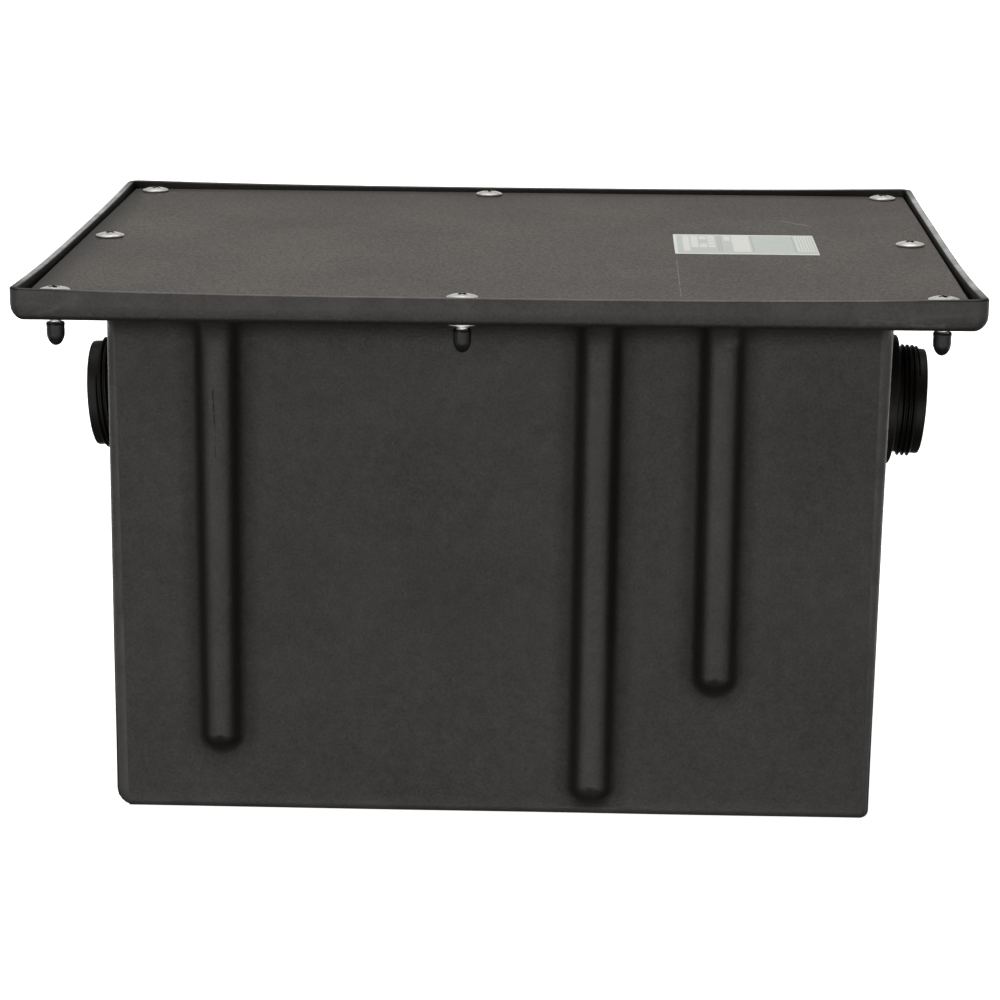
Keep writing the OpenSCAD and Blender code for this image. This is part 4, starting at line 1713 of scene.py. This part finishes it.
@dataclass
class Studio:
    """The floor, the soft lights and the camera. Lengths are in millimetres and angles in radians."""

    sweep_r: float = 6000.0
    sweep_bend: float = 1200.0
    sweep_h: float = 5000.0
    world: str = "#ffffff"
    world_strength: float = 0.08
    lens: float = 105.83
    sensor: float = 36.0
    clip_end: float = 100000.0
    yaw: float = -0.03446
    pitch: float = 0.25281
    roll: float = 0.00613
    eye: Place = (50.93, -1552.76, 530.34)
    lights: tuple[SoftBox, ...] = (
        SoftBox("overhead", (0.0, 500.0, 2300.0), (0.0, 300.0, 0.0), (2000.0, 1400.0), 48.0),
        SoftBox("front", (-1700.0, -2900.0, 1500.0), (0.0, 0.0, 200.0), (1500.0, 1200.0), 31.0),
        SoftBox("table", (0.0, -3000.0, -800.0), (0.0, 0.0, 170.0), (8000.0, 1500.0), 83.0),
        SoftBox("inlet_table", (-3000.0, 0.0, -800.0), (0.0, 0.0, 170.0), (5000.0, 1500.0), 12.0),
        SoftBox("outlet_table", (3000.0, 0.0, -800.0), (0.0, 0.0, 170.0), (5000.0, 1500.0), 17.0),
        SoftBox("back_table", (0.0, 3000.0, -800.0), (0.0, 0.0, 170.0), (8000.0, 1500.0), 70.0),
        SoftBox("back", (0.0, 2600.0, 650.0), (0.0, 0.0, 270.0), (3400.0, 900.0), 5.8),
    )

    def lay_floor(self, paper: MattPaper) -> None:
        """Lays the paper sweep, floor and wall in one, and sets the even light round it.

        Args:
            paper: The sweep's finish.
        """
        bend = [(math.sin(a), 1.0 - math.cos(a)) for a in map(math.radians, range(0, 91, 15))]
        flat = self.sweep_r - self.sweep_bend
        section = [(0.0, 0.0)] + [(flat + self.sweep_bend * s, self.sweep_bend * c) for s, c in bend]
        bm = bmesh.new()
        revolve(bm, section + [(self.sweep_r, self.sweep_h)], steps=96, ring=False)
        bmesh.ops.scale(bm, vec=(MM, MM, MM), verts=bm.verts)
        close_skin(bm)
        mesh = as_mesh(bm, "paper_sweep")
        mesh.materials.append(paper.material())
        sweep = bpy.data.objects.new("paper_sweep", mesh)
        # The paper throws no light back: the lights under the floor stand for the bright table all round.
        sweep.visible_diffuse = False
        sweep.visible_glossy = False
        sweep.visible_shadow = False
        link(sweep)
        world = bpy.data.worlds.new("studio")
        world.use_nodes = True
        background = world.node_tree.nodes["Background"]
        background.inputs["Color"].default_value = linear(self.world)
        background.inputs["Strength"].default_value = self.world_strength
        bpy.context.scene.world = world

    def set_camera(self) -> None:
        """Stands the camera where the photograph was taken."""
        level = math.cos(self.pitch)
        ahead = Vector((math.sin(self.yaw) * level, math.cos(self.yaw) * level, -math.sin(self.pitch)))
        right = Vector((math.cos(self.yaw), -math.sin(self.yaw), 0.0))
        up = right.cross(ahead)
        across = right * math.cos(self.roll) + up * math.sin(self.roll)
        above = up * math.cos(self.roll) - right * math.sin(self.roll)
        data = bpy.data.cameras.new("camera")
        data.lens = self.lens
        data.sensor_width = self.sensor
        data.clip_end = self.clip_end * MM
        camera = bpy.data.objects.new("camera", data)
        turn = Matrix((across, above, -ahead)).transposed().to_4x4()
        camera.matrix_world = Matrix.Translation(Vector(self.eye) * MM) @ turn
        link(camera)
        bpy.context.scene.camera = camera

    def dress(self) -> None:
        """Sets up the floor, the lights, the camera and a plain view of their brightness."""
        self.lay_floor(MattPaper())
        for light in self.lights:
            light.hang()
        self.set_camera()
        bpy.context.scene.view_settings.view_transform = "Standard"
        log.info("studio: %d lights", len(self.lights))


def main() -> None:
    """Builds the part's pieces in order, then the studio."""
    logging.basicConfig(level=logging.INFO, format="%(name)s: %(message)s")
    Tank().dress(RotomouldedPolyethylene())
    zinc = TumbledSteel("zinc_plated_steel", "#c9c9c6", "#9a9892", bare=0.6)
    Cover().dress(PressedSheet(), PlateFoil(), TumbledSteel(), zinc, DippedVinyl())
    rubber = SheetRubber().material()
    dress_node("cover_gasket", rubber)
    moulded = InjectionMouldedAbs().material()
    PipeStub(Side.INLET, port_z=187.5, pilot_x=219.2, sunk=1.8).dress(moulded, rubber)
    PipeStub(Side.OUTLET, sunk=0.5).dress(moulded, rubber)
    sheet = SawnSheet().material()
    for node in ("inlet_baffle", "centre_baffle", "outlet_baffle"):
        dress_node(node, sheet)
    Studio().dress()
    log.info("sizes written")


if __name__ == "__main__":
    main()
